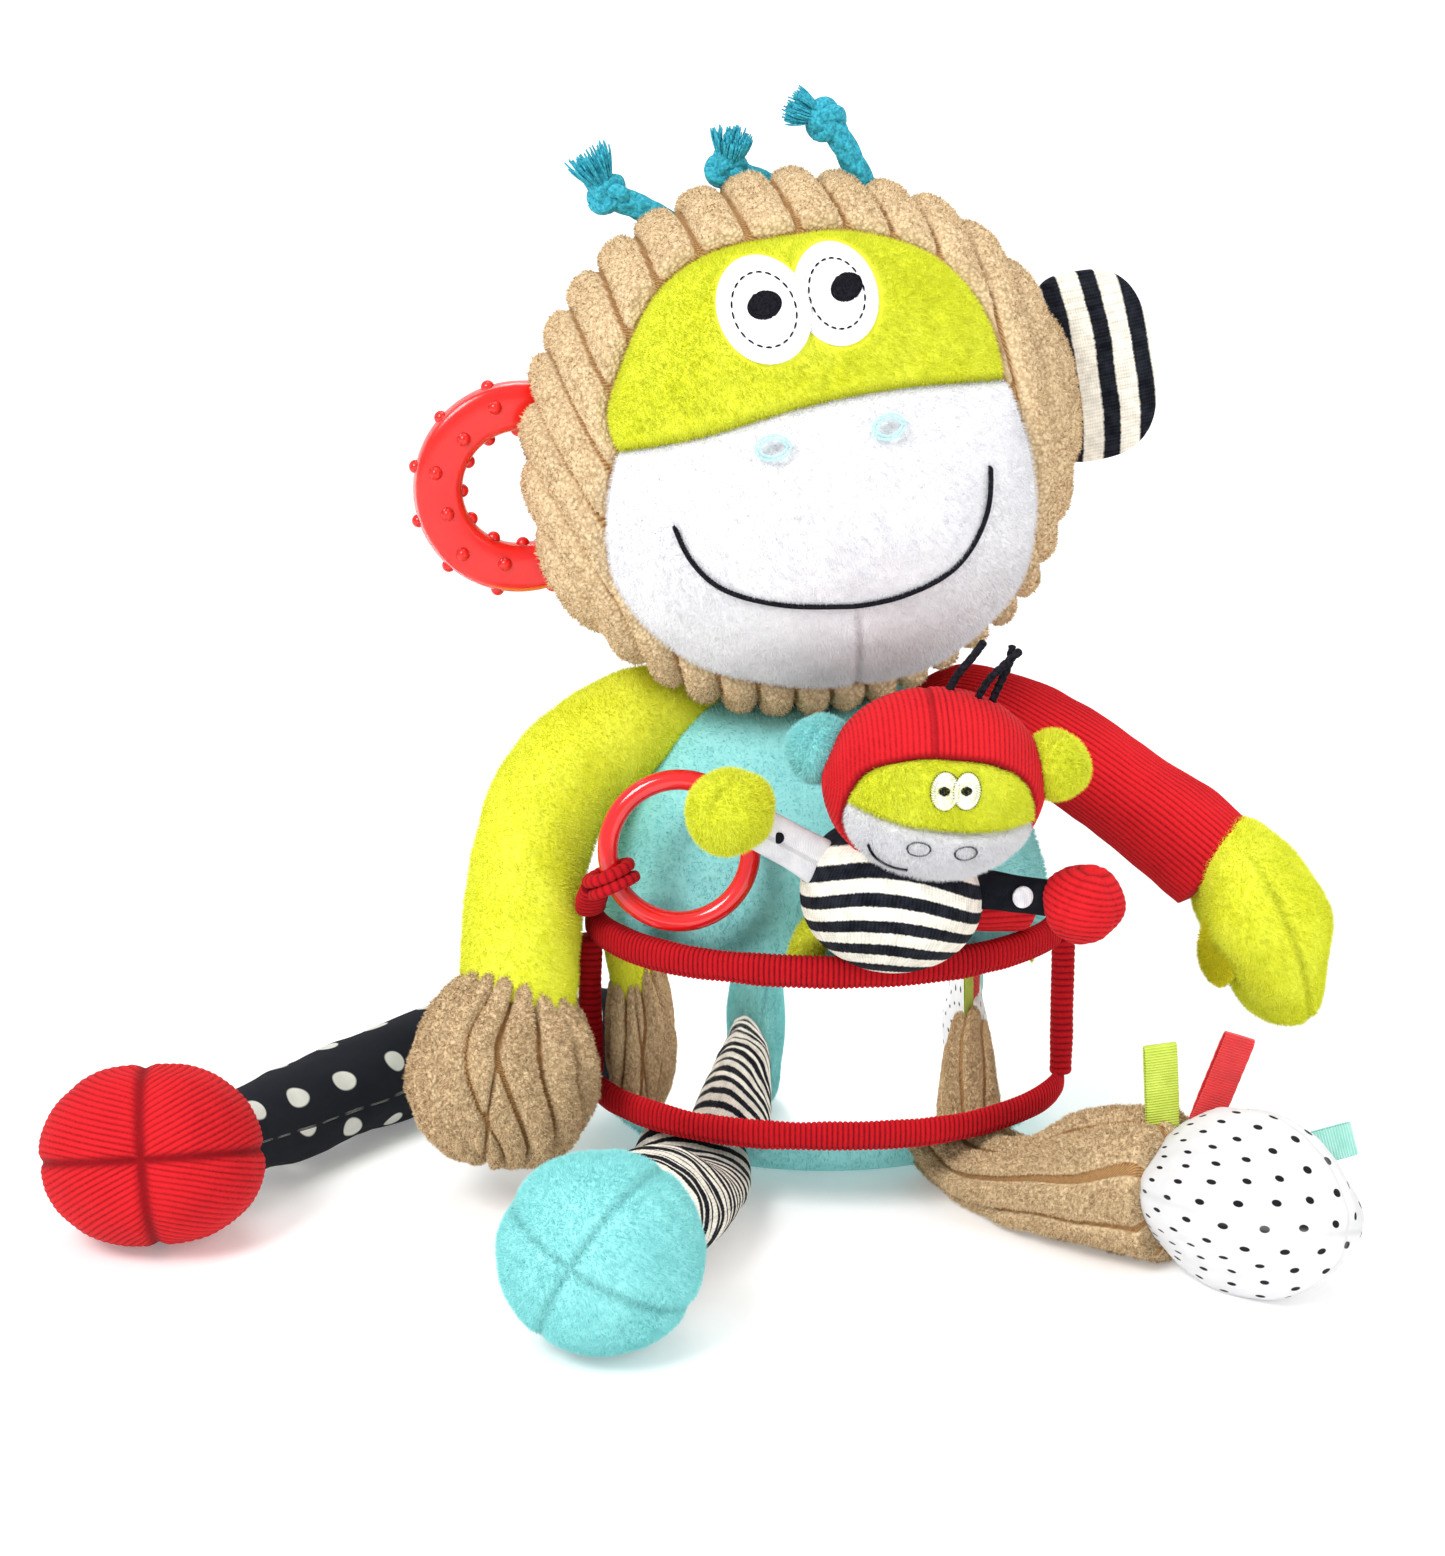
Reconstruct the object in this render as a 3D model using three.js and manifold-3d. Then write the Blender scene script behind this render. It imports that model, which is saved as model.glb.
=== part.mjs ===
// Soft activity monkey for a baby: a seated stuffed monkey with a mirror-fronted belly pocket,
// a small rattle monkey sitting in that pocket, a teething-ring ear, a crackle ear, a pull ring,
// three ribbon tags, five stuffed limbs (two arms, two legs, a tail) and three knotted cord hairs.
// Millimetres, +Z up. The monkey faces -Y. Origin: middle of the flat underside of the belly.
import * as THREE from "three";
import { mergeVertices } from "three/addons/utils/BufferGeometryUtils.js";
import Module from "manifold-3d";

const wasm = await Module();
wasm.setup();

// ---------- driving dimensions ----------
const SKIN = 2.0; // cloth with its pile
const GAP = 0.3; // air between neighbouring pieces
const BELLY_R = 77; // half width of the belly
const BELLY_DEPTH = 0.74; // depth over width
const TORSO_TOP = 149;
const HEAD_AT = [-9, -8, 226.5];
const HEAD = { a: 84, front: 65, back: 58, c: 81 };
const HEAD_ROLL = -10; // degrees about Y: the crown leans to -X
const HEAD_YAW = 9; // degrees about Z: the face looks a little to +X
const FACE_SEAM_Y = -34; // the face panels start here, in the head's own frame
const MASK_SEAM_Z = 18; // lime brow panel above, white muzzle below
const TEETHER = { outer: 32.5, inner: 17.5, thick: 8, nub: 2.1, at: [-85, 6, 3] };
const PULL = { major: 21.4, minor: 3.1, at: [-45, -56.5, 112.5], lean: 11 };
const POCKET = { a: 72.6, b: 55, y: -23, low: 24.5, high: 86, band: 9.5 };
const HAIR_R = 3.9;

// ---------- small helpers ----------
const V = (x, y, z) => new THREE.Vector3(x, y, z);
const rad = THREE.MathUtils.degToRad;

function solid(geometry, matrix) {
  const g = new THREE.BufferGeometry().setAttribute(
    "position",
    geometry.getAttribute("position").clone(),
  );
  if (geometry.index) g.setIndex(geometry.index.clone());
  if (matrix) g.applyMatrix4(matrix);
  const m = mergeVertices(g, 1e-4);
  const idx = m.index.array;
  const keep = [];
  for (let i = 0; i < idx.length; i += 3)
    if (idx[i] !== idx[i + 1] && idx[i + 1] !== idx[i + 2] && idx[i] !== idx[i + 2])
      keep.push(idx[i], idx[i + 1], idx[i + 2]);
  return new wasm.Manifold(
    new wasm.Mesh({
      numProp: 3,
      vertProperties: new Float32Array(m.attributes.position.array),
      triVerts: new Uint32Array(keep),
    }),
  );
}

function place(at, rot = [0, 0, 0], order = "XYZ") {
  const m = new THREE.Matrix4().makeRotationFromEuler(
    new THREE.Euler(rad(rot[0]), rad(rot[1]), rad(rot[2]), order),
  );
  m.setPosition(...at);
  return m;
}

const join = (...s) => s.reduce((a, b) => a.add(b));
const cut = (a, ...s) => s.reduce((x, b) => x.subtract(b), a);

// Ellipsoid; "front" and "back" are its depths towards -Y and +Y.
function blob(at, a, front, back, c, matrix, w = 20, h = 12) {
  const g = new THREE.SphereGeometry(1, w, h);
  g.rotateX(Math.PI / 2);
  const p = g.getAttribute("position");
  for (let i = 0; i < p.count; i++)
    p.setXYZ(i, p.getX(i) * a, p.getY(i) * (p.getY(i) < 0 ? front : back), p.getZ(i) * c);
  const m = new THREE.Matrix4().makeTranslation(...at);
  if (matrix) m.premultiply(matrix);
  return solid(g, m);
}
const ball = (at, r, w = 14, h = 8) => blob(at, r, r, r, r, null, w, h);

// An ellipsoid whose long axis runs along "dir".
function pod(at, dir, long, wide, tall, w = 12, h = 8) {
  const d = V(...dir).normalize();
  const side = V(0, 0, 1).cross(d).normalize();
  const up = d.clone().cross(side);
  const g = new THREE.SphereGeometry(1, w, h);
  g.rotateZ(-Math.PI / 2); // poles along X
  const m = new THREE.Matrix4().makeBasis(
    d.multiplyScalar(long),
    side.multiplyScalar(wide),
    up.multiplyScalar(tall),
  );
  m.setPosition(...at);
  return solid(g, m);
}

// A stuffed tube along a smooth path. Each station is [x, y, z, half width, half height].
function limb(stations, grow = 0, before = 0, after = 0, seg = 8, rings = 5) {
  const pts = stations.map((s) => V(s[0], s[1], s[2]));
  const curve = new THREE.CatmullRomCurve3(pts, false, "centripetal");
  const n = stations.length - 1;
  const g = new THREE.CylinderGeometry(1, 1, 1, seg, rings);
  const p = g.getAttribute("position");
  const length = curve.getLength();
  for (let i = 0; i < p.count; i++) {
    const t = 0.5 - p.getY(i); // 0 at the root
    const tt = Math.min(1, Math.max(0, t));
    const at = curve.getPoint(tt);
    const tan = curve.getTangent(tt);
    if (t <= 1e-6) at.addScaledVector(tan, -before);
    if (t >= 1 - 1e-6) at.addScaledVector(tan, after);
    const side = V(0, 0, 1).cross(tan);
    if (side.lengthSq() < 1e-3) side.set(1, 0, 0);
    side.normalize();
    const up = tan.clone().cross(side).normalize();
    const k = Math.min(n - 1, Math.floor(tt * n));
    const f = tt * n - k;
    const rw = stations[k][3] * (1 - f) + stations[k + 1][3] * f + grow;
    const rh = stations[k][4] * (1 - f) + stations[k + 1][4] * f + grow;
    const x = p.getX(i),
      z = p.getZ(i);
    at.addScaledVector(side, x * rw).addScaledVector(up, z * rh);
    p.setXYZ(i, at.x, at.y, at.z);
  }
  const s = solid(g);
  return s.volume() < 0 ? solid(flip(g)) : s;
}

function flip(g) {
  const f = g.clone();
  const a = f.index.array;
  for (let i = 0; i < a.length; i += 3) [a[i + 1], a[i + 2]] = [a[i + 2], a[i + 1]];
  return f;
}

// Half space beyond a plane, as a big box: everything on the side that "dir" points to.
function beyond(at, dir, size = 600) {
  const g = new THREE.BoxGeometry(size, size, size);
  const d = V(...dir).normalize();
  const q = new THREE.Quaternion().setFromUnitVectors(V(0, 0, 1), d);
  const m = new THREE.Matrix4().makeRotationFromQuaternion(q);
  const c = V(...at).addScaledVector(d, size / 2);
  m.setPosition(c.x, c.y, c.z);
  return solid(g, m);
}

function box(lo, hi, matrix) {
  const g = new THREE.BoxGeometry(hi[0] - lo[0], hi[1] - lo[1], hi[2] - lo[2]);
  g.translate((hi[0] + lo[0]) / 2, (hi[1] + lo[1]) / 2, (hi[2] + lo[2]) / 2);
  return solid(g, matrix);
}

function lathe(profile, seg, matrix) {
  const g = new THREE.LatheGeometry(
    profile.map(([r, z]) => new THREE.Vector2(r, z)),
    seg,
  );
  g.rotateX(Math.PI / 2); // its axis becomes +Z
  let s = solid(g, matrix);
  return s.volume() < 0 ? solid(flip(g), matrix) : s;
}

const group = new THREE.Group();
const LOOK = {
  aqua: [0x7fd3dc, 0.9],
  tan: [0xc9a778, 0.95],
  lime: [0xd3e021, 0.9],
  white: [0xeeeef4, 0.9],
  redcord: [0xb5101c, 0.85],
  redplastic: [0xe8130f, 0.3],
  silicone: [0xf0221c, 0.4],
  stripe: [0xe8e4da, 0.9],
  black: [0x14161c, 0.9],
  dots: [0xf4f4f6, 0.85],
  teal: [0x1fa0b8, 0.85],
  mirror: [0xe8eaec, 0.05],
  fill: [0xf6f4ee, 1],
  part: [0xd9d9d6, 0.5],
  green: [0xa6cf1f, 0.7],
  ribbonred: [0xd21f26, 0.7],
  mint: [0x86d8c6, 0.7],
};
function add(name, s, look) {
  const mesh = s.getMesh();
  const n = mesh.numProp;
  const pos = new Float32Array(mesh.numVert * 3);
  for (let i = 0; i < mesh.numVert; i++)
    pos.set(mesh.vertProperties.subarray(i * n, i * n + 3), i * 3);
  const g = new THREE.BufferGeometry();
  g.setAttribute("position", new THREE.BufferAttribute(pos, 3));
  g.setIndex(new THREE.BufferAttribute(new Uint32Array(mesh.triVerts), 1));
  g.computeVertexNormals();
  const m = new THREE.Mesh(
    g,
    new THREE.MeshStandardMaterial({
      color: LOOK[look][0],
      roughness: LOOK[look][1],
      metalness: look === "mirror" ? 1 : 0,
    }),
  );
  m.name = name;
  group.add(m);
}
// Joins nearly coincident points left by the cuts and drops stray slivers.
function biggest(s) {
  const parts = s.decompose();
  return parts.sort((p, q) => q.volume() - p.volume())[0];
}

// ---------- head frame ----------
const HEAD_M = new THREE.Matrix4()
  .makeTranslation(...HEAD_AT)
  .multiply(new THREE.Matrix4().makeRotationZ(rad(HEAD_YAW)))
  .multiply(new THREE.Matrix4().makeRotationY(rad(HEAD_ROLL)));
const headBlob = (grow, w = 18, h = 10) =>
  blob([0, 0, 0], HEAD.a + grow, HEAD.front + grow, HEAD.back + grow, HEAD.c + grow, HEAD_M, w, h);
const turned = (s, pivot, axis, deg) => {
  const q = new THREE.Quaternion().setFromAxisAngle(V(...axis).normalize(), rad(deg));
  const m = new THREE.Matrix4()
    .makeTranslation(...pivot)
    .multiply(new THREE.Matrix4().makeRotationFromQuaternion(q))
    .multiply(new THREE.Matrix4().makeTranslation(-pivot[0], -pivot[1], -pivot[2]));
  return s.transform(m.elements);
};

// ---------- limb routes ----------
const SHOULDER_R = [-57, -6, 138];
const SHOULDER_L = [58, -6, 139];
const HIP_R = [-42, -40, 14.6];
const HIP_L = [40, -38, 15.6];
const TAIL_ROOT = [0, 58, 19];
const NECK = [-8, -8, 150];
const ARM_R = [
  [...SHOULDER_R, 16.5, 16.5],
  [-81, -18, 123, 17.5, 17.5],
  [-91, -33, 100, 17.5, 17.5],
  [-94.5, -52, 66, 16.5, 16.5],
];
const ARM_L = [
  [...SHOULDER_L, 16.5, 16.5],
  [74, -12, 134, 16.5, 16.5],
  [97, -19, 119, 16, 16],
  [119.5, -26, 98.5, 15.5, 15.5],
];
const LEG_R = [
  [...HIP_R, 14, 13.5],
  [-44, -58, 10.2, 17, 9.6],
  [-48, -80, 10.6, 17, 10.2],
  [-55, -112, 17, 16, 14],
  [-62, -144, 26, 15, 15],
];
const LEG_L = [
  [...HIP_L, 14, 14],
  [47, -52, 10.6, 15, 10],
  [57, -70, 11, 17, 10.6],
  [78, -86, 20, 20, 19.4],
  [98, -102, 23.4, 21.5, 22],
];
const TAIL = [
  [...TAIL_ROOT, 15, 15],
  [-24, 76, 16.4, 15.5, 15.5],
  [-74, 70, 16.6, 16, 16],
  [-112, 36, 17, 16.5, 16.5],
  [-142, 3, 17, 16, 16],
  [-171, -38, 19, 14, 14],
  [-190, -71.5, 24, 12, 12],
];
const HAND_R = { at: [-98, -59, 45] };
const HAND_L = { at: [134, -31, 81.5], dir: [0.42, -0.1, -0.9] };
const FOOT_R = { at: [-66, -165, 29], dir: [-0.27, -0.96, 0] };
const FOOT_L = { at: [121, -120, 25.5], dir: [0.79, -0.61, 0] };
const TIP = { at: [-202, -89, 27.5], dir: [-0.55, -0.83, 0] };

const handR = (g) => pod(HAND_R.at, [-0.16, -0.2, -1], 31.5 + g, 26 + g, 29.5 + g, 12, 7);
const handL = (g) => pod(HAND_L.at, HAND_L.dir, 34.5 + g, 23.5 + g, 17.5 + g, 12, 7);
const footR = (g) => pod(FOOT_R.at, FOOT_R.dir, 32 + g, 30 + g, 28.6 + g, 12, 7);
const footL = (g) => pod(FOOT_L.at, FOOT_L.dir, 38.5 + g, 25.5 + g, 25.2 + g, 12, 7);
const tip = (g) => pod(TIP.at, TIP.dir, 31 + g, 33 + g, 27.2 + g, 12, 7);

// wrist and ankle seams: a point and the direction that leads into the hand or foot
const SEAM = {
  arm_r: [[-94.2, -51, 67], [-0.1, -0.35, -0.93]],
  arm_l: [[118.5, -25.5, 99], [0.72, -0.2, -0.62]],
  leg_r: [[-60.5, -138, 24.5], [-0.25, -0.95, 0.1]],
  leg_l: [[95.5, -100, 21.5], [0.76, -0.64, 0.1]],
  tail: [[-190, -73.5, 23.5], [-0.56, -0.82, 0.12]],
};

const above = beyond([0, 0, 0.02], [0, 0, 1], 900); // everything over the floor

// A round slab, its flat faces square to dir.
const puck = (at, dir, r, h) => {
  const g = new THREE.CylinderGeometry(r, r, h, 12);
  const q = new THREE.Quaternion().setFromUnitVectors(V(0, 1, 0), V(...dir).normalize());
  const m = new THREE.Matrix4().makeRotationFromQuaternion(q);
  m.setPosition(...at);
  return solid(g, m);
};

function stuffed({ stations, seam, end, root, rootR }) {
  const [at, dir] = seam;
  const back = V(...dir).normalize().multiplyScalar(-GAP).add(V(...at)).toArray();
  const sleeveBody = (g) => join(limb(stations, g, 0, 0), ball(root, rootR + g, 8, 6));
  const sleeveOuter = cut(sleeveBody(0), beyond(back, dir));
  const bore = join(limb(stations, -SKIN, 0, 3), ball(root, rootR - SKIN, 8, 6));
  const sleeve = cut(sleeveOuter, bore);
  const endOuter = end(0).intersect(beyond(at, dir));
  const endInner = end(-SKIN);
  const endSkin = cut(endOuter, endInner);
  const neck = 0.3 * stations[stations.length - 1][3];
  const core = join(
    cut(join(limb(stations, -SKIN - GAP), ball(root, rootR - SKIN - GAP, 8, 6)), beyond(back, dir)),
    end(-SKIN - GAP).intersect(beyond(at, dir)),
    puck(at, dir, neck, 5),
  );
  return {
    sleeve: biggest(sleeve.intersect(above)),
    end: biggest(endSkin.intersect(above)),
    core: biggest(core),
  };
}

const armR = stuffed({ stations: ARM_R, seam: SEAM.arm_r, end: handR, root: SHOULDER_R, rootR: 16.5 });
const armL = stuffed({ stations: ARM_L, seam: SEAM.arm_l, end: handL, root: SHOULDER_L, rootR: 16.5 });
const legR = stuffed({ stations: LEG_R, seam: SEAM.leg_r, end: footR, root: HIP_R, rootR: 13.5 });
const legL = stuffed({ stations: LEG_L, seam: SEAM.leg_l, end: footL, root: HIP_L, rootR: 14 });
const tail = stuffed({ stations: TAIL, seam: SEAM.tail, end: tip, root: TAIL_ROOT, rootR: 15 });

// ---------- torso ----------
const torsoProfile = (g) => [
  [0, g < 0 ? -g : 0],
  [46 + g * 0.8, g < 0 ? -g : 0],
  [60 + g, 4.5 - g * 0.6],
  [70.5 + g, 14],
  [BELLY_R - 1 + g, 28],
  [BELLY_R + g, 46],
  [BELLY_R - 3 + g, 68],
  [BELLY_R - 10 + g, 96],
  [BELLY_R - 21 + g, 128],
  [44 + g, 142 + g * 0.5],
  [24, TORSO_TOP - 2 + g],
  [0, TORSO_TOP + g],
];
const torsoM = new THREE.Matrix4().makeScale(1, BELLY_DEPTH, 1);
const torsoAt = (g) => lathe(torsoProfile(g), 18, torsoM);
// the holes the limbs come out of: round ones for the arms, wide ones for the legs, which swing
const sockets = join(
  ball(SHOULDER_R, 18.6, 10, 6),
  limb(ARM_R.slice(0, 2), 1, 0, 0, 8, 1),
  ball(SHOULDER_L, 18.6, 10, 6),
  limb(ARM_L.slice(0, 2), 1, 0, 0, 8, 1),
  ball(HIP_R, 15.6, 10, 6),
  limb([[...HIP_R, 15.4, 15], [-43.5, -54, 10.6, 21, 11.6], [-46, -78, 10.6, 27, 13]], 0, 0, 0, 8, 2),
  ball(HIP_L, 16.2, 10, 6),
  limb([[...HIP_L, 16, 16], [46, -50, 11, 22, 12.4], [57, -70, 12, 28, 14]], 0, 0, 0, 8, 2),
  ball(TAIL_ROOT, 16.8, 10, 6),
  limb(TAIL, 0.9),
);
const neckHole = lathe([[0, 128], [22, 128], [22, 170], [0, 170]], 16, place([-6, -4, 0]));
const bowl = blob(HEAD_AT, 88, 69, 62, HEAD.c + 1.6, null, 18, 12);
const torsoSkin = biggest(cut(torsoAt(0), torsoAt(-SKIN), neckHole, sockets, bowl));
const pelletRoom = lathe([[0, -4], [90, -4], [90, 21.4], [0, 21.4]], 12);
const torsoFill = biggest(cut(torsoAt(-SKIN - GAP), pelletRoom, sockets, neckHole, bowl));
const pelletBag = lathe(
  [[0, 2.5], [42, 2.5], [54, 6], [57.5, 12], [52, 18], [40, 20.6], [0, 21]],
  18,
  torsoM,
);
const pellets = biggest(cut(pelletBag, sockets));
const neckPlug = biggest(
  lathe([[0, 128.4], [17, 128.4], [21, 132], [21, 137], [17, 141.5], [0, 141.5]], 14, place([-6, -4, 0])),
);

// ---------- mirror pocket ----------
const arcPoint = (t, off) => {
  // t in -1..1 along the front of the belly
  const th = Math.PI * (0.5 + 0.5 * t * 0.94);
  const x = -Math.cos(th) * POCKET.a,
    y = POCKET.y - Math.sin(th) * POCKET.b;
  const nx = x / (POCKET.a * POCKET.a),
    ny = (y - POCKET.y) / (POCKET.b * POCKET.b);
  const l = Math.hypot(nx, ny);
  return [x + (nx / l) * off, y + (ny / l) * off];
};
function arcPlate(t0, t1, inner, outer, z0, z1, n) {
  const shape = new THREE.Shape();
  const a = [],
    b = [];
  for (let i = 0; i <= n; i++) {
    const t = t0 + ((t1 - t0) * i) / n;
    a.push(arcPoint(t, outer));
    b.push(arcPoint(t, inner));
  }
  const all = [...a, ...b.reverse()];
  all.forEach(([x, y], i) => (i ? shape.lineTo(x, y) : shape.moveTo(x, y)));
  shape.closePath();
  const g = new THREE.ExtrudeGeometry(shape, { depth: z1 - z0, bevelEnabled: false, steps: 1 });
  g.translate(0, 0, z0);
  return solid(g);
}
const B = POCKET.band;
const sheetT = 0.9,
  backT = 1.6;
const mirror = arcPlate(-0.965, 0.965, 0, sheetT, POCKET.low + 2, POCKET.high - 2, 16);
const backing = arcPlate(-0.965, 0.965, -backT - GAP, -GAP, POCKET.low + 2, POCKET.high - 2, 16);
const panelRoom = arcPlate(-0.975, 0.975, -backT - 2 * GAP, sheetT + GAP, POCKET.low + 1.6, POCKET.high - 1.6, 16);
const bandTop = cut(arcPlate(-1, 1, -3.6, 2.6, POCKET.high - B, POCKET.high, 16), panelRoom);
const bandLow = cut(arcPlate(-1, 1, -3.6, 2.6, POCKET.low, POCKET.low + B, 16), panelRoom);
const bandL = cut(
  arcPlate(-1, -0.9, -3.6, 2.6, POCKET.low + B + GAP, POCKET.high - B - GAP, 4),
  panelRoom,
);
const bandR = cut(
  arcPlate(0.9, 1, -3.6, 2.6, POCKET.low + B + GAP, POCKET.high - B - GAP, 4),
  panelRoom,
);

// ---------- pull ring and its strap ----------
const PULL_M = place(PULL.at, [-PULL.lean, 0, 0]); // crown leans back on the belly
const torusAt = (major, minor, m, ms = 24, ns = 8) => {
  const g = new THREE.TorusGeometry(major, minor, ns, ms);
  g.rotateX(Math.PI / 2); // its axis becomes Y
  return solid(g, m);
};
const pullRing = torusAt(PULL.major, PULL.minor, PULL_M);
const STRAP_ANGLE = rad(203);
const strapLocal = [PULL.major * Math.cos(STRAP_ANGLE), 0, PULL.major * Math.sin(STRAP_ANGLE)];
const strapAt = V(...strapLocal).applyMatrix4(PULL_M);
const strapTan = V(-Math.sin(STRAP_ANGLE), 0, Math.cos(STRAP_ANGLE)).transformDirection(PULL_M);
const strapOut = V(Math.cos(STRAP_ANGLE), 0, Math.sin(STRAP_ANGLE)).transformDirection(PULL_M);
const loopM = new THREE.Matrix4().makeBasis(
  strapTan.clone().cross(strapOut).normalize(),
  strapTan,
  strapOut,
);
const loopC = strapAt.clone().addScaledVector(strapOut, 0.8);
loopM.setPosition(loopC.x, loopC.y, loopC.z);
const loopRing = (() => {
  const g = new THREE.TorusGeometry(6.4, 2.0, 8, 16);
  g.rotateX(Math.PI / 2);
  const p = g.getAttribute("position");
  for (let i = 0; i < p.count; i++) p.setY(i, p.getY(i) * 1.9);
  let s = solid(g, loopM);
  if (s.volume() < 0) s = solid(flip(g), loopM);
  return s;
})();
const strapRoot = loopC.clone().addScaledVector(strapOut, 6.5);
const strapTail = limb(
  [
    [strapRoot.x, strapRoot.y, strapRoot.z, 3.6, 2.4],
    [-72.5, -50, 92.5, 3.6, 2.4],
    [-71.5, -39.5, 88.7, 3.6, 2.0],
    [-71.2, -30.5, 88.6, 3.6, 2.0],
  ],
  0,
  0,
  0,
  8,
  5,
);
const ringRoom = torusAt(PULL.major, PULL.minor + 0.7, PULL_M, 24, 8);
const ringStrap = biggest(
  cut(join(loopRing, strapTail), ringRoom, arcPlate(-1.02, 1.02, -4.2, 3.2, POCKET.low, POCKET.high + GAP, 18)),
);

// ---------- head pieces ----------
const H0 = headBlob(0),
  Hin = headBlob(-SKIN),
  Hfill = headBlob(-SKIN - GAP);
const localBox = (lo, hi) => box(lo, hi, HEAD_M);
const frontHalf = localBox([-120, -120, -120], [120, FACE_SEAM_Y - GAP / 2, 120]);
const backHalf = localBox([-120, FACE_SEAM_Y + GAP / 2, -120], [120, 120, 120]);
// the pleat at the side that the teething ring sits in
const TE = TEETHER;
const teetherM = HEAD_M.clone().multiply(
  new THREE.Matrix4().makeTranslation(...TE.at),
);
const slotDisc = (() => {
  const g = new THREE.CylinderGeometry(TE.outer + TE.nub + 1.2, TE.outer + TE.nub + 1.2, TE.thick + 2 * TE.nub + 1.6, 26);
  return solid(g, teetherM);
})();
const tabIn = [TE.at[0] + TE.inner - TE.nub - 1.6, TE.at[0] + TE.outer + TE.nub + 1.6];
const tabHalf = TE.thick / 2 + TE.nub + 1.0;
const tabLo = [tabIn[0] - 2, TE.at[1] - tabHalf - 2, TE.at[2] - 5];
const tabHi = [tabIn[1] + 6, TE.at[1] + tabHalf + 2, TE.at[2] + 5];
const slotTab = localBox(
  [tabLo[0] - GAP - 0.4, tabLo[1] - GAP, tabLo[2] - GAP],
  [tabHi[0] + GAP, tabHi[1] + GAP, tabHi[2] + GAP],
);
const earTab = cut(
  localBox(tabLo, tabHi),
  localBox([tabIn[0], TE.at[1] - tabHalf, tabLo[2] - 5], [tabIn[1], TE.at[1] + tabHalf, tabHi[2] + 5]),
);
const slot = join(slotDisc, slotTab);
const headShell = cut(H0, Hin, slot);
const neckWindow = lathe([[0, 120], [18, 120], [18, 153], [0, 153]], 14, place([-8, -4, 0]));
const headBack = biggest(cut(headShell.intersect(backHalf), neckWindow));
const faceShell = headShell.intersect(frontHalf);
const mask = biggest(faceShell.intersect(localBox([-120, -120, MASK_SEAM_Z + GAP / 2], [120, 120, 120])));
const muzzle = biggest(faceShell.intersect(localBox([-120, -120, -120], [120, 120, MASK_SEAM_Z - GAP / 2])));
const headFill = biggest(cut(Hfill, slot));
const disc = (cx, cz, rx, rz) => {
  const g = new THREE.CylinderGeometry(1, 1, 60, 16);
  g.scale(rx, 1, rz);
  return solid(g, HEAD_M.clone().multiply(new THREE.Matrix4().makeTranslation(cx, -62, cz)));
};
const onFace = cut(headBlob(1.5), headBlob(GAP));
const EYE_R = [-13, 53, 13.2, 16.6],
  EYE_L = [11.5, 53, 13.2, 16];
const eyeR = biggest(onFace.intersect(disc(...EYE_R)));
const eyeL = biggest(cut(onFace.intersect(disc(...EYE_L)), disc(EYE_R[0], EYE_R[1], EYE_R[2] + GAP, EYE_R[3] + GAP)));

// teething ring: flat rounded ring with nubs on its rims and faces
const teether = (() => {
  const h = TE.thick / 2,
    c = 2.4;
  const prof = [
    [TE.inner, -h + c],
    [TE.inner + c, -h],
    [TE.outer - c, -h],
    [TE.outer, -h + c],
    [TE.outer, h - c],
    [TE.outer - c, h],
    [TE.inner + c, h],
    [TE.inner, h - c],
    [TE.inner, -h + c],
  ];
  let ring = lathe(prof, 20);
  const nub = (x, y, z) => solid(new THREE.OctahedronGeometry(TE.nub, 0), place([x, y, z]));
  const N = 8;
  for (let i = 0; i < N; i++) {
    const a = ((i + 0.5) / N) * 2 * Math.PI,
      b = (i / N) * 2 * Math.PI,
      m = (TE.inner + TE.outer) / 2 + (i % 2 ? 1.5 : -1.5);
    ring = join(
      ring,
      nub(TE.outer * Math.cos(a), TE.outer * Math.sin(a), 0),
      nub(TE.inner * Math.cos(b), TE.inner * Math.sin(b), 0),
      nub(m * Math.cos(a), m * Math.sin(a), h),
      nub(m * Math.cos(a), m * Math.sin(a), -h),
    );
  }
  const toY = new THREE.Matrix4().makeRotationX(Math.PI / 2);
  return ring.transform(teetherM.clone().multiply(toY).elements);
})();

// crackle ear: a D-shaped envelope with a film inside, open along its seam
const EAR_AXIS = [80.5, 5, 0];
function earPlate(inset, y0, y1, x0) {
  const s = new THREE.Shape();
  const w = 33.5 - inset,
    h = 29 - inset;
  s.moveTo(x0, -h + 3);
  for (let i = 0; i <= 14; i++) {
    const a = -Math.PI / 2 + (Math.PI * i) / 14;
    const q = Math.sign(Math.sin(a)) * Math.pow(Math.abs(Math.sin(a)), 0.85);
    s.lineTo(80 + w * Math.pow(Math.max(0, Math.cos(a)), 0.62), q * h);
  }
  s.lineTo(x0, h - 3);
  s.closePath();
  const g = new THREE.ExtrudeGeometry(s, { depth: y1 - y0, bevelEnabled: false, steps: 1 });
  g.rotateX(Math.PI / 2); // shape y becomes z, depth becomes -y
  g.translate(0, y1, 0);
  return solid(g, HEAD_M.clone().multiply(new THREE.Matrix4().makeTranslation(0, 0, 4)));
}
const earRoom = headBlob(2.2);
const earCover = biggest(
  cut(earPlate(0, EAR_AXIS[1] - 3, EAR_AXIS[1] + 3, 76), earPlate(1.9, EAR_AXIS[1] - 1.3, EAR_AXIS[1] + 1.3, 60), earRoom),
);
const film = biggest(cut(earPlate(2.6, EAR_AXIS[1] - 0.5, EAR_AXIS[1] + 0.5, 76), earRoom));

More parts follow.
